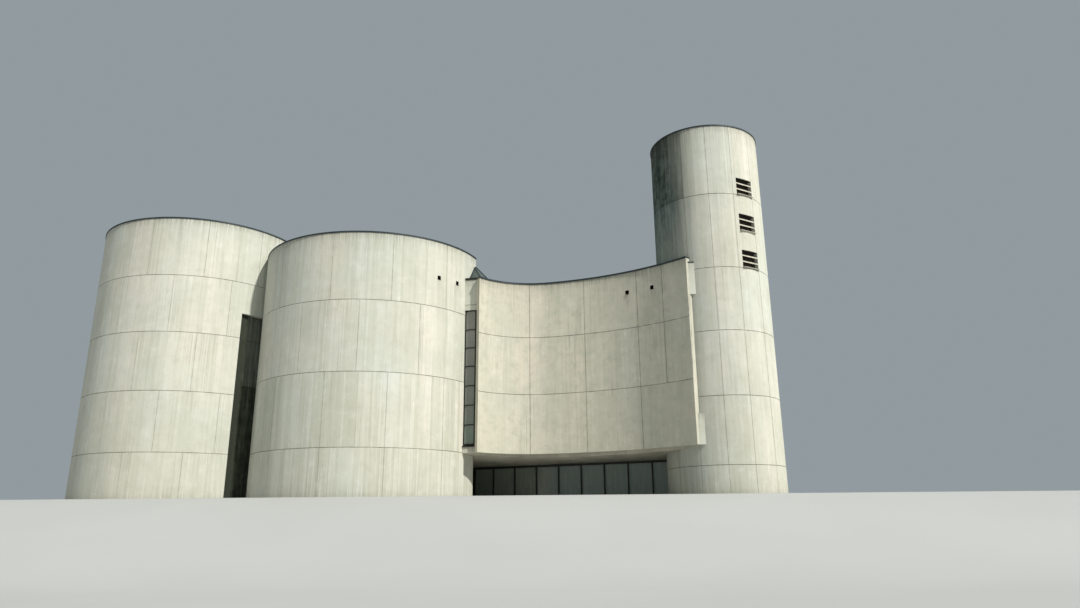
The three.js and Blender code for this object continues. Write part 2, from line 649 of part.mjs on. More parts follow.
function addSlabs(leftRecessSpace) {
  const nearTower = roundWall(REAR_RIGHT, REAR_RIGHT_ENDS.start - 4, REAR_RIGHT_ENDS.middle[0], 0, HALL_TOP);
  const roofPlan = hallPlan(hallLine(WALL + GAP, 0, HALL_LENGTH));
  const roof = prism(roofPlan, HALL_ROOF - SLAB, HALL_ROOF)
    .subtract(mainSpace)
    .subtract(leftSpace)
    .subtract(towerSpace)
    .subtract(recessSpace)
    .subtract(slotSpace)
    .subtract(nearTower);
  add("hall_roof", roof, ROOFING);

  const { at, length } = entranceLine;
  const back = ENTRANCE.depth / 2 + ENTRANCE.glass + GAP;
  const floorPlan = hallPlan([at(-300, back), at(length + 300, back)]);
  const leftWalls = roundWall(LEFT, LEFT_ENDS.rear, LEFT_ENDS.front, 0, LEFT_TOP);
  const mainWalls = roundWall(MAIN, MAIN_ENDS.left, MAIN_ENDS.right, 0, MAIN_TOP);
  const sideWall = sideLine.box(0, sideLine.length + SIDE_WALL_REACH + GAP, -GAP, WALL + GAP, -GAP, SLAB);
  const outside = sideLine.box(-GAP, sideLine.length, -MAIN.r, WALL + GAP, -GAP, SLAB);
  const floor = prism(floorPlan, 0, FLOOR_TOP)
    .add(disc(MAIN, MAIN.r - WALL - GAP, 0, FLOOR_TOP).subtract(outside))
    .add(disc(LEFT, LEFT.r - WALL - GAP, 0, FLOOR_TOP))
    .subtract(leftWalls)
    .subtract(mainWalls)
    .subtract(sideWall)
    .subtract(leftRecessSpace)
    .subtract(towerSpace)
    .subtract(nearTower);
  add("floor_slab", floor, SLAB_CONCRETE);
}

addMainDrum();
addLeftDrum();
addHallWall();
addRecess();
addRecessRoof();
addTowerSlot();
const leftRecessSpace = addLeftRecess();
addEntrance();
addTower();
addRear();
addSlabs(leftRecessSpace);

const bounds = new THREE.Box3().setFromObject(building);
const centre = bounds.getCenter(new THREE.Vector3());
building.position.set(-centre.x, -centre.y, -bounds.min.z);

const church = new THREE.Group();
church.add(building);

export default church;
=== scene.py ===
"""Looks of the church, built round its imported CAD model. Metres and degrees, +Z up, the front faces -Y."""

import json
import random
from collections import namedtuple
from math import cos, degrees, exp, hypot, radians, sin

import bmesh
import bpy
import numpy as np
from mathutils import Matrix, Vector


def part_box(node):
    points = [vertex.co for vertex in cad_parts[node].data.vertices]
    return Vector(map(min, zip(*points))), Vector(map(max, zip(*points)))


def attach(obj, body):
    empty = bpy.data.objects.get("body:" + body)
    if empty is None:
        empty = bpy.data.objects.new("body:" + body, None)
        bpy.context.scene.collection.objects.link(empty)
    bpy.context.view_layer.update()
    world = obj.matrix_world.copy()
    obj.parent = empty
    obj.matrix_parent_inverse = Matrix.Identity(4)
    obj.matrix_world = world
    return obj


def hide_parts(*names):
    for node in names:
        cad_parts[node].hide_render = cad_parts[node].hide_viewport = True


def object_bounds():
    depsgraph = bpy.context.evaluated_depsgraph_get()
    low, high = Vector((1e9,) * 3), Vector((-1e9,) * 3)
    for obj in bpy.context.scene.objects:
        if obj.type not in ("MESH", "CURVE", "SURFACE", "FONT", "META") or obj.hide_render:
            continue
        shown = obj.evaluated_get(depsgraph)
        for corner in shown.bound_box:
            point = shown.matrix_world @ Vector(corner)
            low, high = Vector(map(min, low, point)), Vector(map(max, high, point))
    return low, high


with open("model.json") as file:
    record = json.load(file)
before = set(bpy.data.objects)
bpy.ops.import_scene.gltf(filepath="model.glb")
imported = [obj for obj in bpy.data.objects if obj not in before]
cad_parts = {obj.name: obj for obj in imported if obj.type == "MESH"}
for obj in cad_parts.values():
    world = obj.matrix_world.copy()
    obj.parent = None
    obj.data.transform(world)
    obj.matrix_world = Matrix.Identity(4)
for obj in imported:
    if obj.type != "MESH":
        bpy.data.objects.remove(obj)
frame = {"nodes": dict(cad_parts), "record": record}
cad_low, cad_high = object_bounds()
scene = bpy.context.scene

# Plans are laid out from a point in the main drum, which is found from the middle of the tower
TOWER_AT = (19.62, -3.53)
low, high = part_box("tower_coping")
SITE_X = (low.x + high.x) / 2 - TOWER_AT[0]
SITE_Y = (low.y + high.y) / 2 - TOWER_AT[1]


def site(x, y):
    """A plan point given from that origin, in the frame of the building."""
    return (x + SITE_X, y + SITE_Y)


Circle = namedtuple("Circle", "x y r")


def round_plan(x, y, r):
    return Circle(*site(x, y), r)


TOWER = round_plan(*TOWER_AT, 3.04)
MAIN = round_plan(-0.105, 0.477, 6.498)
LEFT = round_plan(-11.212, 1.458, 5.811)
REAR_LEFT = round_plan(-8.0, 9.0, 6.0)
REAR_RIGHT = round_plan(13.2, 5.7, 8.3)
REAR_MIDDLE = round_plan(1.8, 19.0, 9.0)
TIGHT = round_plan(9.44, -5.61, 3.83)
HALL_FROM, HALL_TURN, HALL_TO = 140.6, 76.8, 41.4
WIDE_R = 14.09

# Plan angles at which the walls of the main and the left drum end
MAIN_END, LEFT_END = -17.0, -44.7

# Levels and thicknesses
WALL = 0.3
OVERHANG = 0.03
MAIN_TOP = 14.045
LEFT_TOP = 15.65
TOWER_TOP = 19.96
HALL_TOP = 12.33
UNDERSIDE = 2.43
MAIN_ROOF = 11.6
LEFT_ROOF = 13.3
TOWER_ROOF = 19.3
HALL_ROOF = 11.0
THIN_COPING = 0.08
HALL_COPING = 0.1
GALLERY_TOP = 2.75
UPPER_FOOT = 10.4
ENTRANCE_HEAD = 2.09
REST = 0.0003
TOWER_COURSES = (1.4, 4.83, 8.2, 11.62, 15.81)

# Cast surface: board width and relief, joints between courses and between panels
BOARD = 0.125
BOARD_WIDTHS = (0.85, 1.15)
RELIEF = 0.003
ARRIS = 0.005
COURSE_HALF = 0.012
COURSE_DEPTH = 0.014
PANEL_HALF = 0.009
PANEL_DEPTH = 0.012
HALO = 0.045

# Rows of points below the head of a course, over the ground and under a hole
FADES = (0.12, 0.45, 1.2, 2.1, 3.0)
FOOT_ROWS = (0.12, 0.4, 0.9)
HOLE_ROWS = (0.3, 0.9)

# Tones, from 0 for light to 1: how far panels, groups of boards and single boards differ, and how often a
# new group or a dark line between two boards comes. LINE is the tone that stands for such a line.
PANEL_TONE, GROUP_TONE, OWN_TONE = 0.14, 0.16, 0.13
GROUP_SHARE, LINE_SHARE = 0.3, 0.1
PLAIN_TONE, HOLE_TONE = 0.45, 0.3
UNEVEN = 0.8
LINE = 2.0

# How stains fade out: runs below a joint, and dirt under the top, over the ground and under a hole
RUN_FADE, TOP_FADE, GROUND_FADE, HOLE_FADE = 0.9, 0.3, 0.35, 0.45

# Rainwater holes: half width, height and depth
SPOUT_HALF = 0.11
SPOUT_HEIGHT = 0.23
SPOUT_DEPTH = 0.25


# Plan lines. A wall's visible face follows a line of arcs and straights, left to right as seen from outside.
def arc(circle, start, end, out=0.0):
    """An arc from one plan angle to another. The outside is on the right of the way along it."""
    r = circle.r + out
    turn = 1 if end > start else -1
    length = abs(radians(end - start)) * r
    centre = np.array([circle.x, circle.y])

    def at(s):
        angle = radians(start) + turn * s / r
        radial = np.stack([np.cos(angle), np.sin(angle)], -1)
        return centre + r * radial, turn * radial

    return [(length, at)]


def line(start, end):
    """A straight from one plan point to another."""
    a, b = np.array(start), np.array(end)
    length = float(np.hypot(*(b - a)))
    along = (b - a) / length
    normal = np.array([along[1], -along[0]])

    def at(s):
        s = np.asarray(s, float)[..., None]
        return a + along * s, np.broadcast_to(normal, s.shape[:-1] + (2,))

    return [(length, at)]


def path_length(path):
    return sum(length for length, _ in path)


def path_at(path, s):
    """Plan points and outward normals at distances along a path, also a little beyond its ends."""
    s = np.asarray(s, float)
    points, normals = np.zeros(s.shape + (2,)), np.zeros(s.shape + (2,))
    start = 0.0
    for i, (length, at) in enumerate(path):
        here = ((s >= start) | (i == 0)) & ((s < start + length) | (i == len(path) - 1))
        points[here], normals[here] = at(s[here] - start)
        start += length
    return points, normals


def polar(circle, angle, out=0.0):
    a, r = radians(angle), circle.r + out
    return (circle.x + r * cos(a), circle.y + r * sin(a))


def distance(circle, start, angle):
    """How far along a drum's face an angle lies from its start."""
    return radians(angle - start) * circle.r


def meeting(circle, start, end, other, steps=4000):
    """The first angle from start towards end at which a circle comes within another round plan."""
    for angle in np.linspace(start, end, steps):
        x, y = polar(circle, angle)
        if hypot(x - other.x, y - other.y) < other.r:
            return float(angle)
    return end


def panel_joints(circle, first, pitch, start, end, clear=1.5):
    """Joints at every pitch of angle from a first one, as distances along a drum, clear of its ends."""
    angles = [first + k * pitch for k in range(-15, 16)]
    return [distance(circle, start, a) for a in angles if start + clear < a < end - clear]


class PlanLine:
    """A straight in plan as a small frame: u along it, v to its left."""

    def __init__(self, start, end):
        self.start = Vector(start)
        self.length = (Vector(end) - self.start).length
        self.along = (Vector(end) - self.start).normalized()
        self.left = Vector((-self.along.y, self.along.x))

    def at(self, u, v):
        return tuple(self.start + self.along * u + self.left * v)

    def face(self, u0, u1):
        return line(self.at(u0, 0), self.at(u1, 0))


# Meshes
def linked(name, data):
    obj = bpy.data.objects.new(name, data)
    scene.collection.objects.link(obj)
    return obj


def new_object(name, points, faces, material):
    mesh = bpy.data.meshes.new(name)
    mesh.from_pydata(points, [], faces)
    mesh.update()
    mesh.materials.append(material)
    return linked(name, mesh)


def outward(obj):
    """Turns all faces of closed shells outwards."""
    bm = bmesh.new()
    bm.from_mesh(obj.data)
    bmesh.ops.recalc_face_normals(bm, faces=bm.faces)
    bm.to_mesh(obj.data)
    bm.free()
    return obj


def finished(obj, slot, *nodes):
    """The piece rides on the building and stands for CAD nodes. slot is not used."""
    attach(obj, "root")
    if nodes:
        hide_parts(*nodes)


def named(stem, *ends):
    """Names of nodes that share a stem."""
    return [f"{stem}_{end}" for end in ends]


def add_attribute(mesh, name, domain, values):
    attribute = mesh.attributes.new(name, "FLOAT", domain)
    attribute.data.foreach_set("value", np.asarray(values, np.float32))


class Wall:
    """A wall cast against upright boards, with joints between courses, joints between panels and holes.

    By course, from below, splits gives where along the path joints between panels are, and uneven how much
    the boards differ in tone. A hole is (middle, half width, foot, head, depth), and depth None goes through.
    mitre gives how far the back falls short of each end, and seam how dark the joints between panels are.
    """

    def __init__(
        self, path, z0, z1, courses=(), splits=(), holes=(), seed=1, thick=WALL, mitre=(0.0, 0.0), seam=0.8,
        uneven=(), material=None
    ):
        self.path, self.thick, self.mitre, self.seam = path, thick, mitre, seam
        self.splits, self.uneven = dict(enumerate(splits)), dict(enumerate(uneven))
        self.material = material or CONCRETE
        self.length = path_length(path)
        self.levels = [z0, *sorted(courses), z1]
        self.holes = holes
        self.rng = random.Random(seed)
        self.set_columns()
        self.set_rows()
        self.set_relief()
        self.set_points()
        self.set_faces()

    def set_columns(self):
        """Distances along the wall at which its face has points, and the boards between them."""
        joints = sorted({s for row in self.splits.values() for s in row})
        sides = [s + side * half for s, half, *_ in self.holes for side in (-1, 1)]
        keep_out = [(s, HALO + 0.01) for s in joints] + [(s, 0.02) for s in sides]
        margin, s, self.edges = 0.03, 0.0, []
        while s < self.length:
            s += BOARD * self.rng.uniform(*BOARD_WIDTHS)
            if margin < s < self.length - margin and all(abs(s - k) > w for k, w in keep_out):
                self.edges.append(s)
        panel = (PANEL_HALF, PANEL_HALF + ARRIS, HALO)
        columns = {0.0, self.length, *sides}
        columns |= {s + side * ARRIS for s in self.edges for side in (-1, 1)}
        columns |= {s + side * off for s in joints for off in panel for side in (-1, 1)}
        self.cols = np.array(sorted(columns))
        self.board = np.searchsorted(self.edges, self.cols)

    def set_rows(self):
        """Heights at which the face has points. Rows at the bottom of a joint belong to no course, -1."""
        marks = {z for hole in self.holes for z in hole[2:4]}
        marks |= {hole[2] - drop for hole in self.holes for drop in HOLE_ROWS if hole[4]}
        marks |= {z for z in FOOT_ROWS if self.levels[0] == 0}
        lowest, apart = 0.2, 0.03
        rows, last = [], len(self.levels) - 2
        for i, (foot, head) in enumerate(zip(self.levels, self.levels[1:])):
            foot += COURSE_HALF if i else 0
            head -= COURSE_HALF if i < last else 0
            here = [z for z in marks if foot + ARRIS < z < head - ARRIS]
            fades = [head - d for d in FADES if head - d > foot + lowest]
            here += [z for z in fades if all(abs(z - mark) > apart for mark in here)]
            rows += [(foot, -1), (foot + ARRIS, i)] if i else [(foot, i)]
            rows += [(z, i) for z in sorted(here)]
            rows += [(head - ARRIS, i), (head, -1)] if i < last else [(head, i)]
        self.rows = np.array([z for z, _ in rows])
        self.band = [i for _, i in rows]

    def set_relief(self):
        """Each board is sunk and toned a little on its own, within the tone of its panel."""
        bands, boards = len(self.levels) - 1, len(self.edges) + 1
        middles = (np.array([0.0, *self.edges]) + np.array([*self.edges, self.length])) / 2
        self.tone, self.edge_tone, sunk = np.zeros((3, bands, boards))
        for i in range(bands):
            cuts = sorted(self.splits.get(i, ()))
            uneven = self.uneven.get(i, UNEVEN)
            panel_tone = [self.rng.uniform(-PANEL_TONE, PANEL_TONE) for _ in range(len(cuts) + 1)]
            group_tone = 0.0
            for b, panel in enumerate(np.searchsorted(cuts, middles)):
                if self.rng.random() < GROUP_SHARE:
                    group_tone = self.rng.gauss(0, GROUP_TONE)
                own = self.rng.gauss(0, OWN_TONE)
                self.tone[i, b] = min(1.0, max(0.0, 0.5 + panel_tone[panel] + uneven * (group_tone + own)))
                is_line = self.rng.random() < LINE_SHARE * uneven
                self.edge_tone[i, b] = LINE if is_line else self.tone[i, b]
                sunk[i, b] = self.rng.uniform(0, RELIEF)
        self.depth, self.joint = np.zeros((2, len(self.rows), len(self.cols)))
        for j, i in enumerate(self.band):
            if i < 0:
                self.depth[j], self.joint[j] = COURSE_DEPTH, 1
                continue
            self.depth[j] = sunk[i, self.board]
            for s in self.splits.get(i, ()):
                off = np.abs(self.cols - s)
                self.joint[j, off < (PANEL_HALF + HALO) / 2] = 0.4 * self.seam
                groove = off < PANEL_HALF + ARRIS / 2
                self.depth[j, groove], self.joint[j, groove] = PANEL_DEPTH, self.seam

    def grid(self, heights, plan):
        points = np.zeros((len(heights), len(self.cols), 3))
        points[..., :2] = plan
        points[..., 2] = heights[:, None]
        return points.reshape(-1, 3)

    def set_points(self):
        plan, self.normal = path_at(self.path, self.cols)
        front = self.grid(self.rows, plan[None] - self.normal[None] * self.depth[..., None])
        through = {z for hole in self.holes for z in hole[2:4] if hole[4] is None}
        self.back_rows = np.array(sorted({self.levels[0], self.levels[-1], *through}))
        at_start, at_end = self.mitre
        shifted = at_start + self.cols * (self.length - at_start - at_end) / self.length
        plan, normal = path_at(self.path, shifted)
        back = self.grid(self.back_rows, (plan - normal * self.thick)[None])
        self.points = [tuple(p) for p in (*front, *back)]

    def set_faces(self):
        nr, nc, nb = len(self.rows), len(self.cols), len(self.back_rows)
        f = self.front = np.arange(nr * nc).reshape(nr, nc)
        g = self.back = nr * nc + np.arange(nb * nc).reshape(nb, nc)
        self.faces, self.tones = [], []
        cut, cut_back = np.zeros((nr - 1, nc - 1), bool), np.zeros((nb - 1, nc - 1), bool)
        for hole in self.holes:
            self.add_hole(hole, cut, cut_back)
        for j in range(nr - 1):
            i = max(self.band[j : j + 2])
            for k in range(nc - 1):
                if not cut[j, k]:
                    self.faces.append([f[j, k], f[j, k + 1], f[j + 1, k + 1], f[j + 1, k]])
                    between = self.board[k] != self.board[k + 1]
                    self.tones.append((self.edge_tone if between else self.tone)[i, self.board[k]])
        spans = range(nc - 1)
        whole = [(m, k) for m in range(nb - 1) for k in spans if not cut_back[m, k]]
        plain = [[g[m, k + 1], g[m, k], g[m + 1, k], g[m + 1, k + 1]] for m, k in whole]
        for k in spans:
            plain.append([f[-1, k], f[-1, k + 1], g[-1, k + 1], g[-1, k]])
            plain.append([f[0, k + 1], f[0, k], g[0, k], g[0, k + 1]])
        plain += [[*g[::-1, 0], *f[:, 0]], [*g[:, -1], *f[::-1, -1]]]
        self.faces += plain
        self.tones += [PLAIN_TONE] * len(plain)

    def add_hole(self, hole, cut, cut_back):
        """Takes a hole out of the face, and gives it sides and, unless it goes right through, a back."""
        f, g, near = self.front, self.back, 1e-6
        s, half, foot, head, deep = hole
        k0, k1 = np.searchsorted(self.cols, (s - half - near, s + half - near))
        j0, j1 = np.searchsorted(self.rows, (foot - near, head - near))
        cut[j0:j1, k0:k1] = True
        if deep is None:
            m0, m1 = np.searchsorted(self.back_rows, (foot - near, head - near))
            cut_back[m0:m1, k0:k1] = True
            low_row, high_row = g[m0, k0 : k1 + 1], g[m1, k0 : k1 + 1]
        else:
            corner, out = path_at(self.path, np.array([s - half, s + half]))
            inner = corner - out * deep
            base = len(self.points)
            self.points += [(*point, z) for z in (self.rows[j0], self.rows[j1]) for point in inner]
            low_row, high_row = [base, base + 1], [base + 2, base + 3]
            self.faces.append([base, base + 1, base + 3, base + 2])
            self.tones.append(0.0)
        self.faces.append([*f[j0 : j1 + 1, k0], high_row[0], low_row[0]])
        self.faces.append([*f[j0 : j1 + 1, k1][::-1], low_row[-1], high_row[-1]])
        self.faces.append([*f[j0, k0 : k1 + 1][::-1], *low_row])
        self.faces.append([*f[j1, k0 : k1 + 1], *high_row[::-1]])
        self.tones += [HOLE_TONE] * 4

    def made(self, name, *nodes, stain=None, corner=None):
        """stain gives the algae by facing and height. corner gives where painted shade, laid over them, thins
        out along the wall.
        """
        obj = new_object(name, self.points, self.faces, self.material)
        heads = [self.levels[i + 1] if i >= 0 else z for i, z in zip(self.band, self.rows)]
        run = np.exp(-np.maximum(0.0, np.array(heads) - self.rows) / RUN_FADE)[:, None]
        dirt = np.exp(-(self.levels[-1] - self.rows) / TOP_FADE)[:, None] + np.zeros((1, len(self.cols)))
        if self.levels[0] == 0:
            dirt = np.maximum(dirt, 0.75 * np.exp(-self.rows / GROUND_FADE)[:, None])
        for s, half, foot, _, deep in self.holes:
            if deep:
                under = np.where(self.rows < foot + 0.01, 0.7 * np.exp((self.rows - foot) / HOLE_FADE), 0.0)
                beside = np.exp(-(((self.cols - s) / half) ** 2) / 2)
                dirt = np.maximum(dirt, under[:, None] * beside[None])
        facing = np.degrees(np.arctan2(self.normal[:, 0], -self.normal[:, 1]))
        algae = np.array([[stain(a, z) for a in facing] for z in self.rows]) if stain else 0.0
        # Painted shade: the stain rises by 1 up to the first distance of corner and falls back to nothing by
        # the second
        if corner:
            algae = algae + np.interp(self.cols, corner, (1.0, 0.0))
        add_attribute(obj.data, "tone", "FACE", self.tones)
        for key, values in (("joint", self.joint), ("run", run), ("dirt", dirt), ("stain", algae)):
            everywhere = np.zeros(len(self.points))
            everywhere[: self.depth.size] = np.broadcast_to(values, self.depth.shape).ravel()
            add_attribute(obj.data, key, "POINT", everywhere)
        finished(obj, "concrete", *nodes)


def sweep(name, path, profile, material, spans, closed=False, start_cut=(0.0, 0.0)):
    """Sweeps a profile of (outwards, height) corners along stretches of a path, as closed solids.

    start_cut moves the first ring along the path: by its first number, and back by its second per metre out.
    """
    pitch, n = 0.12, len(profile)
    out, height = np.array(profile).T
    points, faces = [], []
    for s0, s1 in spans:
        steps = max(2, int((s1 - s0) / pitch) + 1)
        s = np.linspace(s0, s1, steps, endpoint=not closed)[:, None] + np.zeros(n)
        s[0] += start_cut[0] - start_cut[1] * out
        plan, normal = path_at(path, s)
        plan = plan + normal * out[None, :, None]
        base = len(points)
        points += [(*plan[i, k], height[k]) for i in range(steps) for k in range(n)]
        for i in range(steps if closed else steps - 1):
            a, b = base + i * n, base + ((i + 1) % steps) * n
            faces += [[a + k, b + k, b + (k + 1) % n, a + (k + 1) % n] for k in range(n)]
        if not closed:
            faces.append([base + k for k in range(n)])
            faces.append([base + (steps - 1) * n + k for k in range(n)][::-1])
    return outward(new_object(name, points, faces, material))


def coping(name, path, top, height, *nodes, closed=False, inner=WALL, start_cut=(0.0, 0.0)):
    """A sheet-metal coping with drip edges, falling inwards, and cover strips over its joints."""
    o, i, foot = OVERHANG, -inner - OVERHANG, top - height
    body = [(o - 0.014, foot + 0.004), (o, foot), (o, top - 0.01), (o - 0.008, top - 0.002)]
    body += [(i + 0.008, top - 0.018), (i, top - 0.026), (i, foot), (i + 0.014, foot + 0.004)]
    strip = [(o - 0.006, foot + 0.002), (o, foot + 0.002), (o, top - 0.006), (o - 0.006, top)]
    strip += [(i + 0.006, top - 0.014), (i, top - 0.02), (i, foot + 0.002), (i + 0.006, foot + 0.002)]
    length = path_length(path)
    spacing, half = 2.4, 0.04
    count = max(1, round(length / spacing))
    middles = [(k + 0.5) * length / count for k in range(count)]
    strips = sweep(name + "_joints", path, strip, COPING_METAL, [(s - half, s + half) for s in middles])
    finished(strips, "coping_metal")
    finished(sweep(name, path, body, COPING_METAL, [(0, length)], closed, start_cut), "coping_metal", *nodes)


def flashing(name, path, z, closed=False):
    """A metal upstand where a flat roof meets the inner face of a wall. The path is that face."""
    profile = [(-0.001, z + 0.001), (-0.001, z + 0.18), (-0.012, z + 0.175), (-0.006, z + 0.16)]
    profile += [(-0.006, z + 0.02), (-0.05, z + 0.006), (-0.05, z + 0.001)]
    sheet_strip(name, path, profile, 0.02, closed)


def sheet_strip(name, path, profile, margin, closed=False):
    span = (margin, path_length(path) - margin)
    finished(sweep(name, path, profile, SHEET_METAL, [span], closed), "sheet_metal")


class Solids:
    """Many small solids in one mesh: chamfered boxes and sections on plan lines, and bars in space."""

    def __init__(self):
        self.points, self.faces = [], []

    def take(self, bm, place):
        base = len(self.points)
        bm.verts.index_update()
        self.points += [place(vert.co) for vert in bm.verts]
        self.faces += [[base + p.index for p in face.verts] for face in bm.faces]
        bm.free()

    def box(self, plan, u, v, z, chamfer=0.004):
        """u, v and z are each (from, to)."""
        middle = Vector([(a + b) / 2 for a, b in (u, v, z)])
        solid = self.chamfered([b - a for a, b in (u, v, z)], chamfer)
        self.take(solid, lambda p: (*plan.at(p.x + middle.x, p.y + middle.y), p.z + middle.z))

    def bar(self, start, end, up, width, height):
        """A bar in space that stands on the line between two points, up being the way it stands."""
        start, end = Vector(start), Vector(end)
        along = (end - start).normalized()
        side = along.cross(Vector(up)).normalized()
        rise = side.cross(along)
        middle = (start + end) / 2 + rise * height / 2
        solid = self.chamfered(((end - start).length, width, height), 0.003)
        self.take(solid, lambda p: tuple(middle + along * p.x + side * p.y + rise * p.z))

    def chamfered(self, size, chamfer):
        bm = bmesh.new()
        bmesh.ops.create_cube(bm, size=1)
        bmesh.ops.scale(bm, vec=size, verts=bm.verts)
        offset = min(chamfer, 0.3 * min(size))
        bmesh.ops.bevel(bm, geom=list(bm.edges), offset=offset, segments=1, affect="EDGES")
        return bm

    def section(self, plan, u0, u1, profile):
        """A profile of (v, height) corners carried along a plan line."""
        base, n = len(self.points), len(profile)
        self.points += [(*plan.at(u, v), z) for u in (u0, u1) for v, z in profile]
        self.faces += [[base + k, base + (k + 1) % n, base + n + (k + 1) % n, base + n + k] for k in range(n)]
        self.faces += [[base + k for k in range(n)][::-1], [base + n + k for k in range(n)]]

    def made(self, name, material, slot, *nodes):
        finished(outward(new_object(name, self.points, self.faces, material)), slot, *nodes)


# Materials. Colours are given as (red, green, blue) on a screen, 0 to 255.
def rgb(*tint):
    return (*[((c / 255 + 0.055) / 1.055) ** 2.4 if c > 10 else c / 255 / 12.92 for c in tint], 1.0)


class Graph:
    """Adds shader nodes to a material and links them."""

    def __init__(self, name):
        self.material = bpy.data.materials.new(name)
        self.material.use_nodes = True
        self.tree = self.material.node_tree
        self.tree.nodes.clear()
        self.where = self.node("TexCoord").outputs["Object"]

    def node(self, kind, inputs=None, **settings):
        made = self.tree.nodes.new("ShaderNode" + kind)
        for key, value in settings.items():
            setattr(made, key, value)
        for key, value in (inputs or {}).items():
            if isinstance(value, bpy.types.NodeSocket):
                self.tree.links.new(value, made.inputs[key])
            else:
                made.inputs[key].default_value = value
        return made

    def math(self, operation, a, b=0.0, clamp=False):
        return self.node("Math", {0: a, 1: b}, operation=operation, use_clamp=clamp).outputs[0]

    def times(self, a, b):
        return self.math("MULTIPLY", a, b)

    def height(self):
        return self.node("SeparateXYZ", {0: self.where}).outputs["Z"]

    def attribute(self, name):
        return self.node("Attribute", attribute_name=name).outputs["Fac"]

    def noise(self, scale, detail=3.0, rough=0.5, squeeze=None):
        """squeeze is how many times finer the noise is across and up."""
        where = self.where
        if squeeze:
            across, up = squeeze
            where = self.node("Mapping", {"Vector": where, "Scale": (across, across, up)}).outputs[0]
        inputs = {"Vector": where, "Scale": scale, "Detail": detail, "Roughness": rough}
        return self.node("TexNoise", inputs).outputs[0]

    def spread(self, value, low, high, to_low=0.0, to_high=1.0):
        inputs = {0: value, 1: low, 2: high, 3: to_low, 4: to_high}
        return self.node("MapRange", inputs, clamp=True).outputs[0]

    def mix(self, factor, a, b):
        a, b = (rgb(*tint) if isinstance(tint, tuple) else tint for tint in (a, b))
        return self.node("Mix", {0: factor, 6: a, 7: b}, data_type="RGBA").outputs[2]

    def stained(self, color, mask, amount, tint):
        """Lays a tint over a colour where a mask says, at most by the amount."""
        return self.mix(self.math("MULTIPLY", mask, amount, clamp=True), color, tint)

    def layers(self, color, *rows):
        """Stains a colour by rows of (mask, its value for none, its value for all, amount, tint)."""
        for mask, none, full, amount, tint in rows:
            color = self.stained(color, self.spread(mask, none, full), amount, tint)
        return color

    def bump(self, height, strength, distance):
        return self.node("Bump", {"Height": height, "Strength": strength, "Distance": distance}).outputs[0]

    def surface(self, color, roughness, normal=None, metallic=0.0, specular=0.5):
        inputs = {"Base Color": color, "Roughness": roughness, "Metallic": metallic}
        inputs["Specular IOR Level"] = specular
        if normal:
            inputs["Normal"] = normal
        shader = self.node("BsdfPrincipled", inputs)
        self.node("OutputMaterial", {"Surface": shader.outputs[0]})
        return self.material


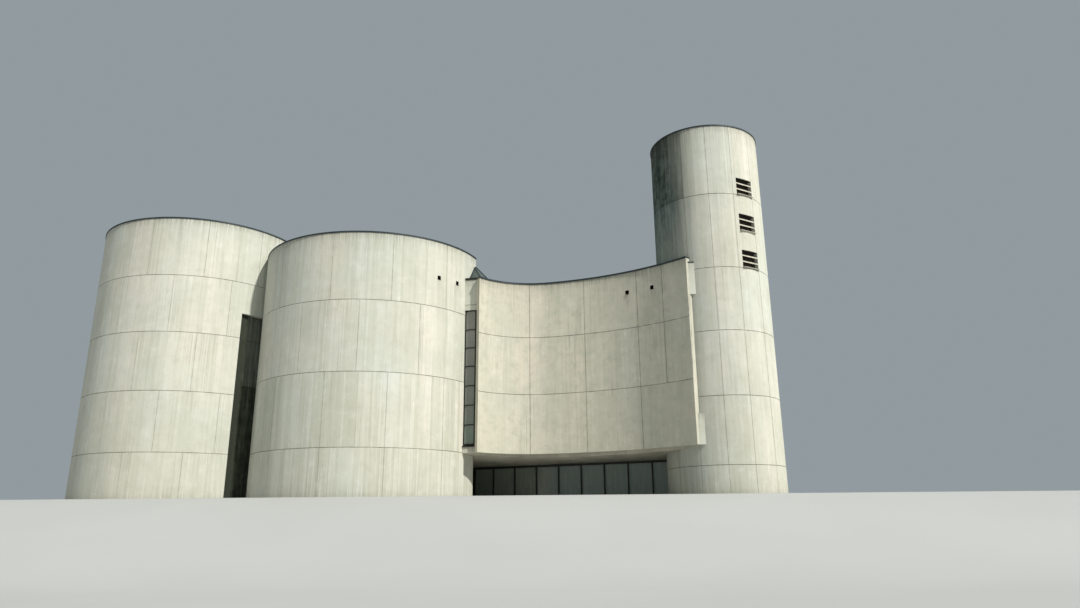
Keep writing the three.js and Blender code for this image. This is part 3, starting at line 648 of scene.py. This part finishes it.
def board_marked_concrete(name, cool, warm_tint, patchy):
    """Concrete cast against rough boards. Its grey runs between two tints, and patchy sets its mottle."""
    g = Graph(name)
    cloud = g.noise(0.45, 5.0, 0.6)
    mottle = g.noise(2.2, 5.0, 0.65)
    blot = g.noise(9.0, 4.0, 0.7)
    speck = g.noise(36.0, 3.0, 0.6)
    warm = g.noise(0.28, 3.0, 0.5, (1.0, 0.6))
    streak = g.noise(1.0, 5.0, 0.6, (5.5, 0.3))
    narrow = g.noise(1.0, 4.0, 0.65, (21.0, 0.5))
    grain = g.noise(1.0, 6.0, 0.7, (120.0, 5.0))
    patches = g.spread(g.noise(0.8, 3.0, 0.5, (1.0, 0.5)), 0.42, 0.66)
    height, tone, run, stain = g.height(), g.attribute("tone"), g.attribute("run"), g.attribute("stain")

    def in_patches(mask, low, high, least):
        return g.times(g.spread(mask, low, high), g.spread(patches, 0.0, 1.0, least, 1.0))

    color = g.layers(
        g.mix(g.spread(warm, 0.38, 0.62), cool, warm_tint),
        (cloud, 0.42, 0.68, 0.5, (193, 193, 179)),
        (mottle, 0.5, 0.72, patchy, (186, 186, 171)),
        (tone, 0.1, 0.95, 0.5, (178, 180, 161)),
        # Darker towards the foot, from 6.5 m down to 2.5 m: painted shade of the trees and neighbouring walls
        (height, 6.5, 2.5, 0.24, (172, 171, 152)),
        (mottle, 0.44, 0.3, 0.25, (229, 229, 222)),
    )

    # Runs, fine lines and lime come down from the head of each course
    lime = g.times(g.spread(narrow, 0.46, 0.3), g.spread(streak, 0.5, 0.36))
    for mask, least, most, tint in (
        (in_patches(streak, 0.52, 0.7, 0.25), 0.34, 0.5, (160, 160, 146)),
        (in_patches(narrow, 0.56, 0.7, 0.1), 0.26, 0.42, (140, 138, 124)),
        (lime, 0.25, 0.6, (238, 237, 230)),
    ):
        color = g.stained(color, mask, g.spread(run, 0.0, 1.0, least, most), tint)
    spots = ((blot, 0.66, 0.76, 0.4, (150, 136, 112)), (speck, 0.66, 0.74, 0.45, (112, 104, 88)))
    color = g.layers(color, *spots)
    color = g.stained(color, in_patches(tone, 0.5 + LINE / 2, LINE, 0.45), 0.65, (96, 92, 78))
    under = g.times(g.attribute("dirt"), g.spread(narrow, 0.36, 0.6, 0.2, 1.0))
    color = g.stained(color, under, 0.6, (88, 86, 72))

    # Algae: less blue in the tower's top course, rusty at its head and olive low down. Where the stain runs
    # over 1, the darkest tint is painted shade in a corner.
    wet = g.times(g.spread(streak, 0.3, 0.55, 0.9, 1.08), g.spread(narrow, 0.3, 0.6, 0.94, 1.0))
    top = g.spread(height, TOWER_COURSES[-1] - 0.05, TOWER_COURSES[-1] + 0.05)
    low = g.spread(height, 11.2, 10.8)
    light = g.stained(g.mix(top, (84, 104, 101), (84, 98, 90)), low, 1.0, (76, 80, 66))
    dark = g.stained(g.mix(top, (56, 72, 70), (46, 57, 53)), low, 1.0, (52, 56, 45))
    rust = g.times(g.spread(height, 18.2, 19.4), g.spread(blot, 0.35, 0.55))
    algae = g.stained(g.mix(g.spread(mottle, 0.38, 0.6), dark, light), rust, 0.6, (66, 58, 47))
    # The last tint, used where the stain is over 1, is painted shade
    algae = g.layers(algae, (streak, 0.52, 0.64, 0.6, (36, 43, 39)), (stain, 1.0, 2.0, 1.0, (46, 50, 42)))
    color = g.stained(color, stain, wet, algae)
    open_joint = g.times(g.attribute("joint"), g.spread(mottle, 0.35, 0.6, 0.55, 1.0))
    color = g.stained(color, open_joint, 0.85, (86, 80, 68))

    relief = g.math("ADD", g.times(grain, 0.6), g.times(speck, 0.4))
    rough = g.spread(cloud, 0.3, 0.7, 0.82, 0.95)
    return g.surface(color, rough, g.bump(relief, 0.35, 0.004), specular=0.25)


def cast_concrete():
    """Smooth cast concrete of slabs and soffits, with the marks of wide boards."""
    g = Graph("cast_concrete")
    cloud, speck = g.noise(0.8, 4.0, 0.6), g.noise(70.0, 3.0)
    plank, toward_x, toward_y = 0.3, 0.384, 0.923
    axes = g.node("SeparateXYZ", {0: g.where}).outputs
    across = g.math("ADD", g.times(axes["X"], toward_x / plank), g.times(axes["Y"], toward_y / plank))
    joint = g.spread(g.math("ABSOLUTE", g.math("SUBTRACT", g.math("FRACT", across), 0.5)), 0.485, 0.497)
    color = g.mix(g.spread(cloud, 0.35, 0.65), (188, 184, 168), (164, 160, 146))
    color = g.layers(color, (speck, 0.6, 0.75, 0.35, (116, 110, 98)))
    color = g.stained(color, joint, 0.5, (110, 106, 94))
    height = g.math("SUBTRACT", g.times(speck, 0.4), joint)
    return g.surface(color, 0.9, g.bump(height, 0.3, 0.003), specular=0.25)


def roof_gravel():
    g = Graph("roof_gravel")
    stones = g.node("TexVoronoi", {"Vector": g.where, "Scale": 28.0}).outputs
    color = g.mix(g.spread(stones["Color"], 0.0, 1.0), (122, 116, 104), (172, 166, 152))
    gaps = (stones["Distance"], 0.35, 0.8, 0.7, (70, 66, 58))
    moss = (g.noise(0.6, 5.0, 0.6), 0.5, 0.68, 0.5, (92, 96, 66))
    dome = g.math("SUBTRACT", 1.0, stones["Distance"])
    return g.surface(g.layers(color, gaps, moss), 0.95, g.bump(dome, 0.9, 0.02), specular=0.2)


def painted_sheet(name, base, worn, dust, roughness, scale=3.0):
    """Coated sheet metal: slightly uneven, dusty where it lies flat, with faint runs."""
    g = Graph(name)
    cloud = g.noise(scale, 4.0, 0.6)
    color = g.mix(g.spread(cloud, 0.38, 0.66), base, worn)
    color = g.layers(color, (g.noise(1.0, 4.0, 0.6, (14.0, 1.2)), 0.55, 0.75, 0.4, dust))
    up = g.node("SeparateXYZ", {0: g.node("NewGeometry").outputs["Normal"]}).outputs["Z"]
    lying = g.times(g.spread(up, 0.6, 0.98), g.spread(cloud, 0.3, 0.6, 0.25, 0.7))
    rough = g.spread(cloud, 0.3, 0.7, roughness - 0.08, roughness + 0.12)
    bump = g.bump(g.noise(scale * 1.5, 2.0), 0.12, 0.01)
    return g.surface(g.mix(lying, color, dust), rough, bump, metallic=0.35)


def window_glass():
    """Glass whose colour is painted reflection: green-grey low down from trees, lighter grey higher up from
    the sky, under a film of dust.
    """
    g = Graph("window_glass")
    cloud, dust = g.noise(0.35, 3.0), g.noise(1.0, 4.0, 0.6, (9.0, 0.8))
    # Painted reflection: trees mirrored low down, sky higher up, blending between 3 m and 8 m
    color = g.mix(g.spread(g.height(), 3.0, 8.0), (120, 134, 122), (152, 150, 142))
    film = ((cloud, 0.35, 0.65, 0.4, (118, 118, 110)), (dust, 0.5, 0.7, 0.3, (168, 164, 152)))
    rough = g.spread(dust, 0.4, 0.7, 0.08, 0.22)
    return g.surface(g.layers(color, *film), rough, g.bump(g.noise(0.9, 1.0), 0.05, 0.02))


CONCRETE = board_marked_concrete("board_marked_concrete", (211, 213, 203), (218, 214, 201), 0.4)
HALL_CONCRETE = board_marked_concrete("hall_concrete", (207, 203, 188), (214, 206, 189), 0.95)
CAST = cast_concrete()
GRAVEL = roof_gravel()
COPING_METAL = painted_sheet("coping_sheet", (44, 54, 58), (56, 66, 70), (92, 96, 94), 0.5)
SHEET_METAL = painted_sheet("roof_sheet", (76, 88, 86), (90, 102, 99), (112, 120, 114), 0.55, 2.0)
FRAME_METAL = painted_sheet("frame_paint", (32, 34, 30), (42, 44, 40), (62, 62, 54), 0.45)
# Near-black lining of the rainwater holes: painted shade inside them
SPOUT_METAL_PAINTED_SHADE = painted_sheet("spout_sheet_painted_shade", (30, 30, 26), (38, 37, 32), (54, 52, 45), 0.7)
LOUVRE_METAL = painted_sheet("louvre_paint", (206, 202, 186), (186, 181, 164), (140, 134, 118), 0.6)
# Dark brown of the louvre plates, head and back sheets: painted shade
LOUVRE_PAINTED_SHADE = painted_sheet("louvre_painted_shade", (62, 56, 46), (48, 43, 36), (78, 72, 60), 0.8)
GLASS = window_glass()


# How dark the weather has made a wall, by the way that it faces and by height
def weathered(top):
    """A light darkening on the sides that get little sun, strongest near the top."""

    def amount(facing, z):
        away = min(1.0, max(0.0, (-facing - 35) / 60))
        return 0.3 * away * exp(-(top - z) / 5.0) + 0.06 * away

    return amount


def ramp(value, points):
    """Straight lines through (value, result) points."""
    return float(np.interp(value, *zip(*points)))


def tower_weathered(facing, z):
    """The tower is dark with algae on its left, most of all in the top course, up to a joint of panels."""
    turned = facing if facing < 90 else facing - 360
    fade = ramp(turned, ((-260, 0.0), (-200, 0.6), (-120, 1.0)))
    if z > TOWER_COURSES[-1]:
        ends = 0.12 * (exp(-(TOWER_TOP - z) / 1.0) + exp(-(z - TOWER_COURSES[-1]) / 1.0))
        left = ramp(turned, ((-68, 1.0), (-58, 0.88), (-48, 0.76), (-41, 0.62), (-36.2, 0.54)))
        right = ramp(turned, ((-36, 0.34), (-30, 0.2), (-22, 0.06), (-13, 0.0)))
        return fade * min(1.0, left + ends if turned < -36.1 else right)
    side = ramp(turned, ((-68, 1.0), (-48, 0.86), (-38, 0.5), (-24, 0.13), (-10, 0.0)))
    return fade * side * (0.4 + 0.55 * exp(-(TOWER_COURSES[-1] - z) / 5.0))


def spouts(name, path, spots, z):
    """Metal linings of the rainwater holes, near-black as painted shade inside them. The bottom of each
    carries the water clear of the wall.
    """
    linings = Solids()
    lip, sheet, play = 0.035, 0.008, 0.003
    half, foot, head, deep = SPOUT_HALF - play, z + play, z + SPOUT_HEIGHT - play, SPOUT_DEPTH - play
    wide, within = (-half, half), (foot + sheet, head - sheet)
    for s in spots:
        plan, normal = path_at(path, np.array([s]))
        start = Vector(plan[0])
        across = PlanLine(start, start + Vector((-normal[0][1], normal[0][0])))
        for u, v, heights in (
            (wide, (-lip, deep), (foot, foot + sheet)),
            (wide, (play, deep), (head - sheet, head)),
            (wide, (deep - sheet, deep), within),
            ((-half, sheet - half), (-play, deep - sheet), within),
            ((half - sheet, half), (-play, deep - sheet), within),
        ):
            linings.box(across, u, v, heights, 0.002)
    linings.made(name, SPOUT_METAL_PAINTED_SHADE, "frame_metal")


def spout_holes(spots, z):
    return [(s, SPOUT_HALF, z, z + SPOUT_HEIGHT, SPOUT_DEPTH) for s in spots]


# Main drum
def drum_walls():
    start, spout_z = -174.0, 11.78
    left = meeting(MAIN, -120.0, start, LEFT)
    courses = (2.462, 6.322, 10.182)
    odd, even = (panel_joints(MAIN, first, 28.7, left, MAIN_END) for first in (-71.1, -85.5))
    face = arc(MAIN, left, MAIN_END)
    spots = [distance(MAIN, left, angle) for angle in (-46.96, -34.93)]
    splits, holes = (odd, odd, even, odd), spout_holes(spots, spout_z)
    top = MAIN_TOP - THIN_COPING - REST
    front = Wall(face, 0, top, courses, splits, holes, seed=14, seam=0.5, uneven=(2.0, 2.0, 0.9, 1.0))
    nodes = named("main_drum_wall", "right", "front", "left")
    front.made("main_drum_walls", *nodes, stain=weathered(MAIN_TOP))
    Wall(arc(MAIN, start, left), 0, UPPER_FOOT, courses, seed=12).made("main_drum_walls_inside")
    coping("main_drum_cap", face, MAIN_TOP, THIN_COPING, "main_drum_coping")
    spouts("main_drum_spouts", face, spots, spout_z)
    flashing("main_drum_flashing", arc(MAIN, left + 4, MAIN_END - 1, -WALL), MAIN_ROOF)
    roof_edge(7.5, meeting(MAIN, 90.0, -left, LEFT) - 0.5)


def roof_edge(start, end):
    """Sheet metal on the side of the drum's roof where it stands above the hall's."""
    side = [(0.001, HALL_ROOF + 0.03), (0.012, HALL_ROOF + 0.03), (0.012, MAIN_ROOF + 0.02)]
    side += [(-0.12, MAIN_ROOF + 0.014), (-0.12, MAIN_ROOF + 0.001), (0.001, MAIN_ROOF + 0.001)]
    sheet_strip("main_drum_roof_edge", arc(MAIN, start, end), side, 0.0)


def crown(name, circle, top, roof):
    """Coping and flashing all the way round."""
    coping(f"{name}_cap", arc(circle, -180, 180), top, THIN_COPING, f"{name}_coping", closed=True)
    flashing(f"{name}_flashing", arc(circle, -180, 180, -WALL), roof, closed=True)


# Left drum
def left_drum():
    start, end, upper_end, pitch = -252.0, LEFT_END, 108.0, 30.0
    courses = (2.472, 5.716, 8.960, 12.204)
    top, stain = LEFT_TOP - THIN_COPING - REST, weathered(LEFT_TOP)
    odd, even = (panel_joints(LEFT, first, pitch, start, end) for first in (-97, -82))
    walls = Wall(arc(LEFT, start, end), 0, top, courses, (odd, even, odd, even, odd), seed=21, seam=0.5)
    walls.made("left_drum_walls", *named("left_drum_wall", "front", "side", "rear"), stain=stain)
    splits = [panel_joints(LEFT, first, pitch, end, upper_end) for first in (-82, -97)]
    upper = Wall(arc(LEFT, end, upper_end), UPPER_FOOT, top, courses[-1:], splits, seed=22, seam=0.5)
    upper.made("left_drum_upper_walls", "left_drum_upper_wall", stain=stain)
    crown("left_drum", LEFT, LEFT_TOP, LEFT_ROOF)
    enter, leave = meeting(LEFT, end, 0.0, MAIN), meeting(LEFT, 60.0, 0.0, MAIN)
    flashing("left_drum_flashing_low", arc(LEFT, leave, enter + 3), MAIN_ROOF)
    flashing("left_drum_flashing_side", arc(LEFT, upper_end - 2, leave + 1), HALL_ROOF)


# Concave hall wall: a tight arc at the left runs on into a wide one, and the left end is cut on a slant
turn, apart = radians(HALL_TURN), TIGHT.r - WIDE_R
WIDE = Circle(TIGHT.x + apart * cos(turn), TIGHT.y + apart * sin(turn), WIDE_R)
HALL_FACE = arc(TIGHT, HALL_FROM, HALL_TURN) + arc(WIDE, HALL_TURN, HALL_TO)
HALL_COURSES = (5.73, 9.03)
HALL_WALL_TOP = HALL_TOP - HALL_COPING - REST
HALL_END_SLOPE = 0.356
ROOF_FOOT_AT = 1.7


def tight_angle(s):
    """The plan angle at a distance along the tight arc."""
    return HALL_FROM - degrees(s / TIGHT.r)


def hall_wall():
    length, spout_z = path_length(HALL_FACE), 10.98
    quarter = length / 4
    whole = [quarter, 2 * quarter, 3 * quarter]
    halved = whole + [3.5 * quarter]
    s = np.linspace(0, length, 2000)
    plan, _ = path_at(HALL_FACE, s)
    places = (site(14.78, -3.78), site(16.01, -4.73))
    spots = [float(s[np.argmin(np.hypot(plan[:, 0] - x, plan[:, 1] - y))]) for x, y in places]
    splits, holes = (whole, halved, halved), spout_holes(spots, spout_z)
    wall = Wall(
        HALL_FACE, UNDERSIDE, HALL_WALL_TOP, HALL_COURSES, splits, holes, seed=31,
        mitre=(HALL_END_SLOPE * WALL, 0.0), uneven=(0.5, 0.5, 0.5), material=HALL_CONCRETE,
    )
    nodes = named("hall_wall", "left", "middle_left", "middle_right", "right")
    wall.made("hall_walls", *nodes, stain=weathered(HALL_TOP))
    cut = (-OVERHANG * hypot(1, HALL_END_SLOPE), HALL_END_SLOPE)
    coping("hall_wall_cap", HALL_FACE, HALL_TOP, HALL_COPING, "hall_wall_coping", start_cut=cut)
    spouts("hall_wall_spouts", HALL_FACE, spots, spout_z)
    inner = WIDE._replace(r=WIDE.r + WALL)
    inside = arc(TIGHT, tight_angle(ROOF_FOOT_AT) - 1, HALL_TURN, WALL)
    inside += arc(inner, HALL_TURN, meeting(inner, HALL_TURN, HALL_TO, TOWER))
    flashing("hall_wall_flashing", inside, HALL_ROOF)


# Glazed recess between the main drum and the hall wall
RECESS = PlanLine(polar(MAIN, -28.36), site(6.283, -2.762))
RECESS_END = 0.80
SILL = (2.756, 2.866)
LINTEL = (10.46, 12.266)


def recess():
    face = RECESS.face(0.0, RECESS_END)
    apron = (UNDERSIDE, SILL[0])
    for name, (foot, head), courses, seed in (("lintel", LINTEL, (10.77,), 81), ("apron", apron, (), 82)):
        wall = Wall(face, foot + REST, head - REST, courses, seed=seed, thick=0.2, mitre=(0.056, -0.1))
        wall.made(f"recess_{name}_boards", f"recess_{name}")

    sill = Solids()
    foot, head = SILL
    nose, lip, back, drip = -0.049, 0.03, 0.118, 0.006
    edge, inner = nose + drip, nose + 2 * drip
    profile = [(nose, foot + REST), (nose, foot + lip), (edge, foot + lip + drip), (back, head - REST)]
    profile += [(back, foot + REST), (inner, foot + REST), (inner, foot + 0.008), (edge, foot + 0.008)]
    sill.section(RECESS, 0.0, 0.77, profile)
    sill.made("recess_sill_sheet", FRAME_METAL, "coping_metal", "recess_sill")

    bars = Solids()
    foot, head = SILL[1], LINTEL[0]
    rail, bar = 0.06, 0.045
    for u in ((0.02, 0.08), (0.617, 0.83)):
        bars.box(RECESS, u, (0.05, 0.1), (foot + REST, head - REST))
    for z in (foot + rail / 2, 3.956, 5.035, 6.114, 7.213, 8.272, 9.321, head - rail / 2):
        half = rail / 2 - REST if z < foot + rail or z > head - rail else bar / 2
        bars.box(RECESS, (0.078, 0.619), (0.054, 0.098), (z - half, z + half))
    bars.made("recess_window_bars", FRAME_METAL, "frame_metal", "recess_window_frame")


def recess_roof():
    """Trims and standing seams of the metal roof over the recess, on the planes of its solid."""
    apex = Vector((*polar(MAIN, MAIN_END, -WALL / 2), 13.6))
    eaves, fold_end = (Vector((*RECESS.at(u, 0.205), 12.08)) for u in (0.0, 1.05))
    back = WALL + OVERHANG + 0.005
    ends = ((0.45, 12.34), (ROOF_FOOT_AT, 11.7))
    ridge_end, foot_end = (Vector((*polar(TIGHT, tight_angle(s), back), z)) for s, z in ends)
    fold = fold_end - apex
    up = (fold_end - eaves).cross(apex - eaves).normalized()
    up = up if up.z > 0 else -up
    trim = Solids()
    trim.bar(apex + fold * 0.01, apex + fold * 0.84, up, 0.045, 0.03)
    trim.bar(apex, ridge_end, (0, 0, 1), 0.05, 0.035)
    trim.bar(apex, foot_end, (0, 0, 1), 0.06, 0.05)
    upstand, steps = [], 8
    for k in range(steps + 1):
        x, y = polar(MAIN, -17.6 - 9.0 * k / steps, 0.012)
        z = eaves.z - (up.x * (x - eaves.x) + up.y * (y - eaves.y)) / up.z
        upstand.append((x, y, min(z, apex.z - 0.2)))
    for a, b in zip(upstand, upstand[1:]):
        trim.bar(a, b, (0, 0, 1), 0.02, 0.09)
    trim.made("recess_roof_trim", COPING_METAL, "sheet_metal")
    fascia = Solids()
    fascia.box(RECESS, (0.0, RECESS_END), (-0.03, 0.2), (LINTEL[1], LINTEL[1] + 0.12), 0.006)
    fascia.made("recess_roof_fascia", FRAME_METAL, "frame_metal")
    seams = Solids()
    for u in (0.2, 0.38, 0.56):
        head = apex + fold * (u - 0.073) / 0.977
        seams.bar((*RECESS.at(u, 0.21), 12.08), head, up, 0.016, 0.028)
    seams.made("recess_roof_seams", SHEET_METAL, "sheet_metal")


# Slot between the hall wall and the tower: a block below, a block above, glass between
def tower_slot():
    front = PlanLine(site(17.786, -6.175), site(18.12, -6.175))
    head = 12.0
    for name, z0, z1, seed in (("lower", UNDERSIDE, 3.98, 91), ("upper", 10.25, head, 92)):
        face = front.face(0, front.length)
        block = Wall(face, z0 + REST, z1 - REST, seed=seed, thick=0.175, mitre=(0.045, 0.272))
        block.made(f"tower_slot_{name}_boards", f"tower_slot_{name}_block")
    cap = Solids()
    profile = [(-0.025, head), (-0.025, head + 0.05), (0.0, head + 0.055), (0.1, head + 0.06), (0.1, head)]
    cap.section(front, 0.0, front.length - 0.01, profile)
    cap.made("tower_slot_cap", COPING_METAL, "coping_metal")


# Panel that closes the recess between the left drum and the main drum
def left_recess():
    """The panel sees little sun, so algae cover it, and its lower courses wholly. Next to the left drum,
    painted shade darkens it further.
    """
    plan = PlanLine(polar(LEFT, LEFT_END, -WALL / 2), polar(MAIN, -164.6))
    courses = (3.7, 6.322, 8.94)
    shades = ((6.31, 1.0), (6.33, 0.84), (UPPER_FOOT, 0.8))
    face = plan.face(0.0, plan.length)
    panel = Wall(face, 0, UPPER_FOOT - REST, courses, seed=95, thick=0.15, mitre=(0.032, -0.134))
    # corner lays painted shade over the panel next to the left drum: full for 0.36 m, gone by 0.52 m
    panel.made(
        "left_recess_boards", "left_recess_panel", stain=lambda _, z: ramp(z, shades), corner=(0.36, 0.52)
    )


# Entrance under the hall wall
def entrance():
    start = site(5.7, 3.446)
    side = PlanLine(polar(MAIN, MAIN_END), start)
    wall = Wall(side.face(0.0, side.length + 0.15), 0, GALLERY_TOP, seed=101)
    wall.made("entrance_side_boards", "entrance_side_wall")
    front = PlanLine(start, polar(TOWER, 136.3))
    bays, post, half, rail, bead, lap, head = 9, 0.06, 0.06, 0.1, 0.02, 0.002, ENTRANCE_HEAD
    frames = Solids()
    middles = [k * front.length / bays for k in range(1, bays)]
    spans = [(-0.05, 0.16)] + [(u - post / 2, u + post / 2) for u in middles]
    spans += [(front.length - 0.1, front.length + 0.03)]
    for span in spans:
        frames.box(front, span, (-half, half), (0, head))
    for (_, u0), (u1, _) in zip(spans, spans[1:]):
        bay = (u0 - lap, u1 + lap)
        for z in ((0, rail), (head - rail, head)):
            frames.box(front, bay, (-half + 0.004, half - 0.004), z)
        for z in ((rail, rail + bead), (head - rail - bead, head - rail)):
            frames.box(front, bay, (0.03, half - 0.004), z, 0.002)
    frames.made("entrance_frames", FRAME_METAL, "frame_metal", "entrance_front_frame")


# Tower
LOUVRE_ANGLE = -59.25
LOUVRE_FEET = (15.84, 13.73, 11.65)
LOUVRE_HEIGHT = 0.98


def tower():
    start, end, half = -180.0, 180.0, 0.57
    face = arc(TOWER, start, end)
    joints = panel_joints(TOWER, -125.9, 360 / 14, start, end, clear=3)
    middle = distance(TOWER, start, LOUVRE_ANGLE)
    holes = [(middle, half, z, z + LOUVRE_HEIGHT, None) for z in LOUVRE_FEET]
    top = TOWER_TOP - THIN_COPING - REST
    walls = Wall(face, 0, top, TOWER_COURSES, [joints] * 6, holes, seed=41, seam=0.35)
    nodes = named("tower_wall", "front", "right", "rear", "left")
    walls.made("tower_walls", *nodes, stain=tower_weathered)
    crown("tower", TOWER, TOWER_TOP, TOWER_ROOF)
    flashing("tower_flashing_low", arc(TOWER, 222, 130), HALL_ROOF)
    louvres()


def louvres():
    """Three slots in each opening, between light noses and sloping plates. The plates are dark brown: painted
    shade.
    """
    a = radians(LOUVRE_ANGLE)
    middle = Vector(polar(TOWER, LOUVRE_ANGLE))
    plan = PlanLine(middle, middle + Vector((-sin(a), cos(a))))
    half, nose, slots, sill, v, sheet = 0.565, 0.066, 3, 0.03, 0.06, 0.012
    inner, rise = v + 0.21, 0.16
    noses, plates = Solids(), Solids()
    gap = (LOUVRE_HEIGHT - sill - (slots - 1) * nose) / slots

    def plate(v0, v1, z0, z1):
        return [(v0, z0), (v0, z1), (v1, z1), (v1, z0)]

    for foot in LOUVRE_FEET:
        for k in range(slots - 1):
            z = foot + sill + (k + 1) * gap + k * nose
            noses.section(plan, -half, half, plate(v, v + sheet, z, z + nose))
            top = z + nose - 0.004
            slope = [(v + sheet, top), (inner, top + rise), (inner, top + rise - 0.016)]
            slope += [(v + 0.03, top - 0.022), (v + sheet, top - 0.022)]
            plates.section(plan, -half, half, slope)
        head = foot + LOUVRE_HEIGHT
        # Head and back sheets take the plates' dark colour: painted shade in the opening
        plates.section(plan, -half, half, plate(v, inner, head - sheet, head))
        plates.section(plan, -half, half, plate(inner - 0.01, inner, foot + sill, head))
        ledge = [(-0.065, foot), (-0.065, foot + 0.018), (0.26, foot + sill), (0.26, foot)]
        noses.section(plan, -half, half, ledge)
    nodes = named("tower_louvre", "upper", "middle", "lower")
    noses.made("tower_louvre_noses", LOUVRE_METAL, "louvre_metal", *nodes)
    plates.made("tower_louvre_plates", LOUVRE_PAINTED_SHADE, "louvre_metal")


# Rear walls
def rear_wall(name, face, count, seed, *nodes):
    """A rear wall with equal panels, offset by half in every other course."""
    length = path_length(face)
    even = [k * length / count for k in range(1, count)]
    odd = [(k + 0.5) * length / count for k in range(count)]
    wall = Wall(face, 0, HALL_WALL_TOP, (UNDERSIDE, *HALL_COURSES), (even, odd, even, odd), seed=seed)
    wall.made(name, *nodes, stain=weathered(HALL_TOP))


def rear():
    left = (14.4, meeting(REAR_LEFT, 150.0, 215.0, LEFT))
    right = (meeting(REAR_RIGHT, 0.0, -56.0, TOWER), 143.0)
    middle = (296.0, 248.0)
    for side, circle, (start, end), nodes, seed in (
        ("left", REAR_LEFT, left, ("back", "side"), 51),
        ("right", REAR_RIGHT, right, ("side", "corner", "back"), 61),
    ):
        name, face, panel = f"rear_{side}_walls", arc(circle, start, end), 3.3
        count = round(path_length(face) / panel)
        rear_wall(name, face, count, seed, *named(f"rear_{side}_wall", *nodes))
        coping(name + "_cap", face, HALL_TOP, HALL_COPING)
        flashing(name + "_flashing", arc(circle, start + 1, end - 1, -WALL), HALL_ROOF)
    face = arc(REAR_MIDDLE, *middle)
    rear_wall("rear_middle_walls", face, 3, 71, "rear_middle_wall")
    coping("rear_middle_walls_cap", face, HALL_TOP, HALL_COPING, "rear_coping")
    flashing("rear_middle_walls_flashing", arc(REAR_MIDDLE, *middle, WALL), HALL_ROOF)

    right_end, left_end = (polar(REAR_MIDDLE, a, WALL / 2) for a in middle)
    rear_slot("left", PlanLine(left_end, polar(REAR_LEFT, left[0], -WALL / 2)))
    rear_slot("right", PlanLine(polar(REAR_RIGHT, right[1], -WALL / 2), right_end))


def rear_slot(name, slot):
    """The coping over a tall rear slot, and the bars in front of its glass."""
    beyond, outer, head = 0.13, 0.09, HALL_WALL_TOP
    cap = line(slot.at(-beyond, -outer), slot.at(slot.length + beyond, -outer))
    coping(f"rear_slot_cap_{name}", cap, HALL_TOP - 0.002, HALL_COPING - 0.002, inner=2 * outer)
    bars = Solids()
    edge, post, pitch, half = 0.04, 0.05, 1.1, 0.022
    for u in ((edge, edge + post), (slot.length - edge - post, slot.length - edge)):
        bars.box(slot, u, (-0.06, -0.018), (0, head))
    between = (edge + post - 0.002, slot.length - edge + 0.002 - post)
    for z in [0.05, *[k * pitch for k in range(1, int(head / pitch) + 1)], head - post / 2]:
        bars.box(slot, between, (-0.056, -0.02), (z - half, z + half))
    bars.made(f"rear_slot_bars_{name}", FRAME_METAL, "frame_metal")


drum_walls()
left_drum()
hall_wall()
recess()
recess_roof()
tower_slot()
left_recess()
entrance()
tower()
rear()

# Materials of the solids, by their slots
CARRIED = {"concrete": CONCRETE, "slab_concrete": CAST, "roofing": GRAVEL, "glass": GLASS}
CARRIED |= {"coping_metal": COPING_METAL, "sheet_metal": SHEET_METAL}
CARRIED |= {"frame_metal": FRAME_METAL, "louvre_metal": LOUVRE_METAL}
for part in frame["record"]["subparts"]:
    node = frame["nodes"][part["node"]]
    node.data.materials.clear()
    node.data.materials.append(CARRIED[part["material_slot"]])


# Ground, light and camera
def ground():
    """A plain pale floor: level round the building, and falling away in front of it towards the camera."""
    crest, run, drop, steps = cad_low.y - 0.35, 16.0, 3.1, 24
    ys = [cad_high.y + 600, cad_high.y + 10, crest]
    ys += [crest - run * k / steps for k in range(1, steps + 1)] + [crest - run - 400]
    xs = [-700.0, -60.0, 0.0, 60.0, 700.0]
    points = []
    for y in ys:
        t = min(1.0, max(0.0, (crest - y) / run))
        z = -drop * t * t * (3 - 2 * t)
        points += [(x, y, z) for x in xs]
    n = len(xs)
    corners = [j * n + k for j in range(len(ys) - 1) for k in range(n - 1)]
    faces = [[a, a + n, a + n + 1, a + 1] for a in corners]
    g = Graph("pale_floor")
    color = g.mix(g.spread(g.noise(0.15, 3.0), 0.35, 0.65), (168, 169, 168), (171, 172, 171))
    floor = new_object("floor", points, faces, g.surface(color, 0.9))
    floor.data.shade_smooth()


def lights():
    world = bpy.data.worlds.new("studio")
    scene.world = world
    world.use_nodes = True
    background = world.node_tree.nodes["Background"].inputs
    background["Color"].default_value = (0.82, 0.94, 1.0, 1)
    background["Strength"].default_value = 0.35
    far_light("key", 4.35, 2.5, (1.0, 0.975, 0.915), 48, 47)
    far_light("fill", 0.6, 40, (1.0, 0.99, 0.96), 95, 30)
    scene.view_settings.view_transform = "Standard"


def far_light(name, strength, softness, color, facing, height):
    """A light from far off, by the way that it stands round from the front, and how high."""
    lamp = bpy.data.lights.new(name, "SUN")
    lamp.energy = strength
    lamp.angle = radians(softness)
    lamp.color = color
    obj = linked(name, lamp)
    turn, rise = radians(facing), radians(height)
    towards = Vector((sin(turn) * cos(rise), -cos(turn) * cos(rise), sin(rise)))
    obj.rotation_mode = "QUATERNION"
    obj.rotation_quaternion = towards.to_track_quat("Z", "Y")


def camera():
    pitch, roll, focal_px, width_px = 16.18, -0.50, 772.1, 1080
    data = bpy.data.cameras.new("camera")
    data.sensor_width = 36.0
    data.lens = focal_px / width_px * data.sensor_width
    data.clip_end = 1000
    cam = linked("camera", data)
    turn_up = Matrix.Rotation(radians(90 + pitch), 4, "X")
    eye = Matrix.Translation((*site(9.91, -45.03), -1.5))
    cam.matrix_world = eye @ turn_up @ Matrix.Rotation(radians(roll), 4, "Z")
    scene.camera = cam


ground()
lights()
camera()
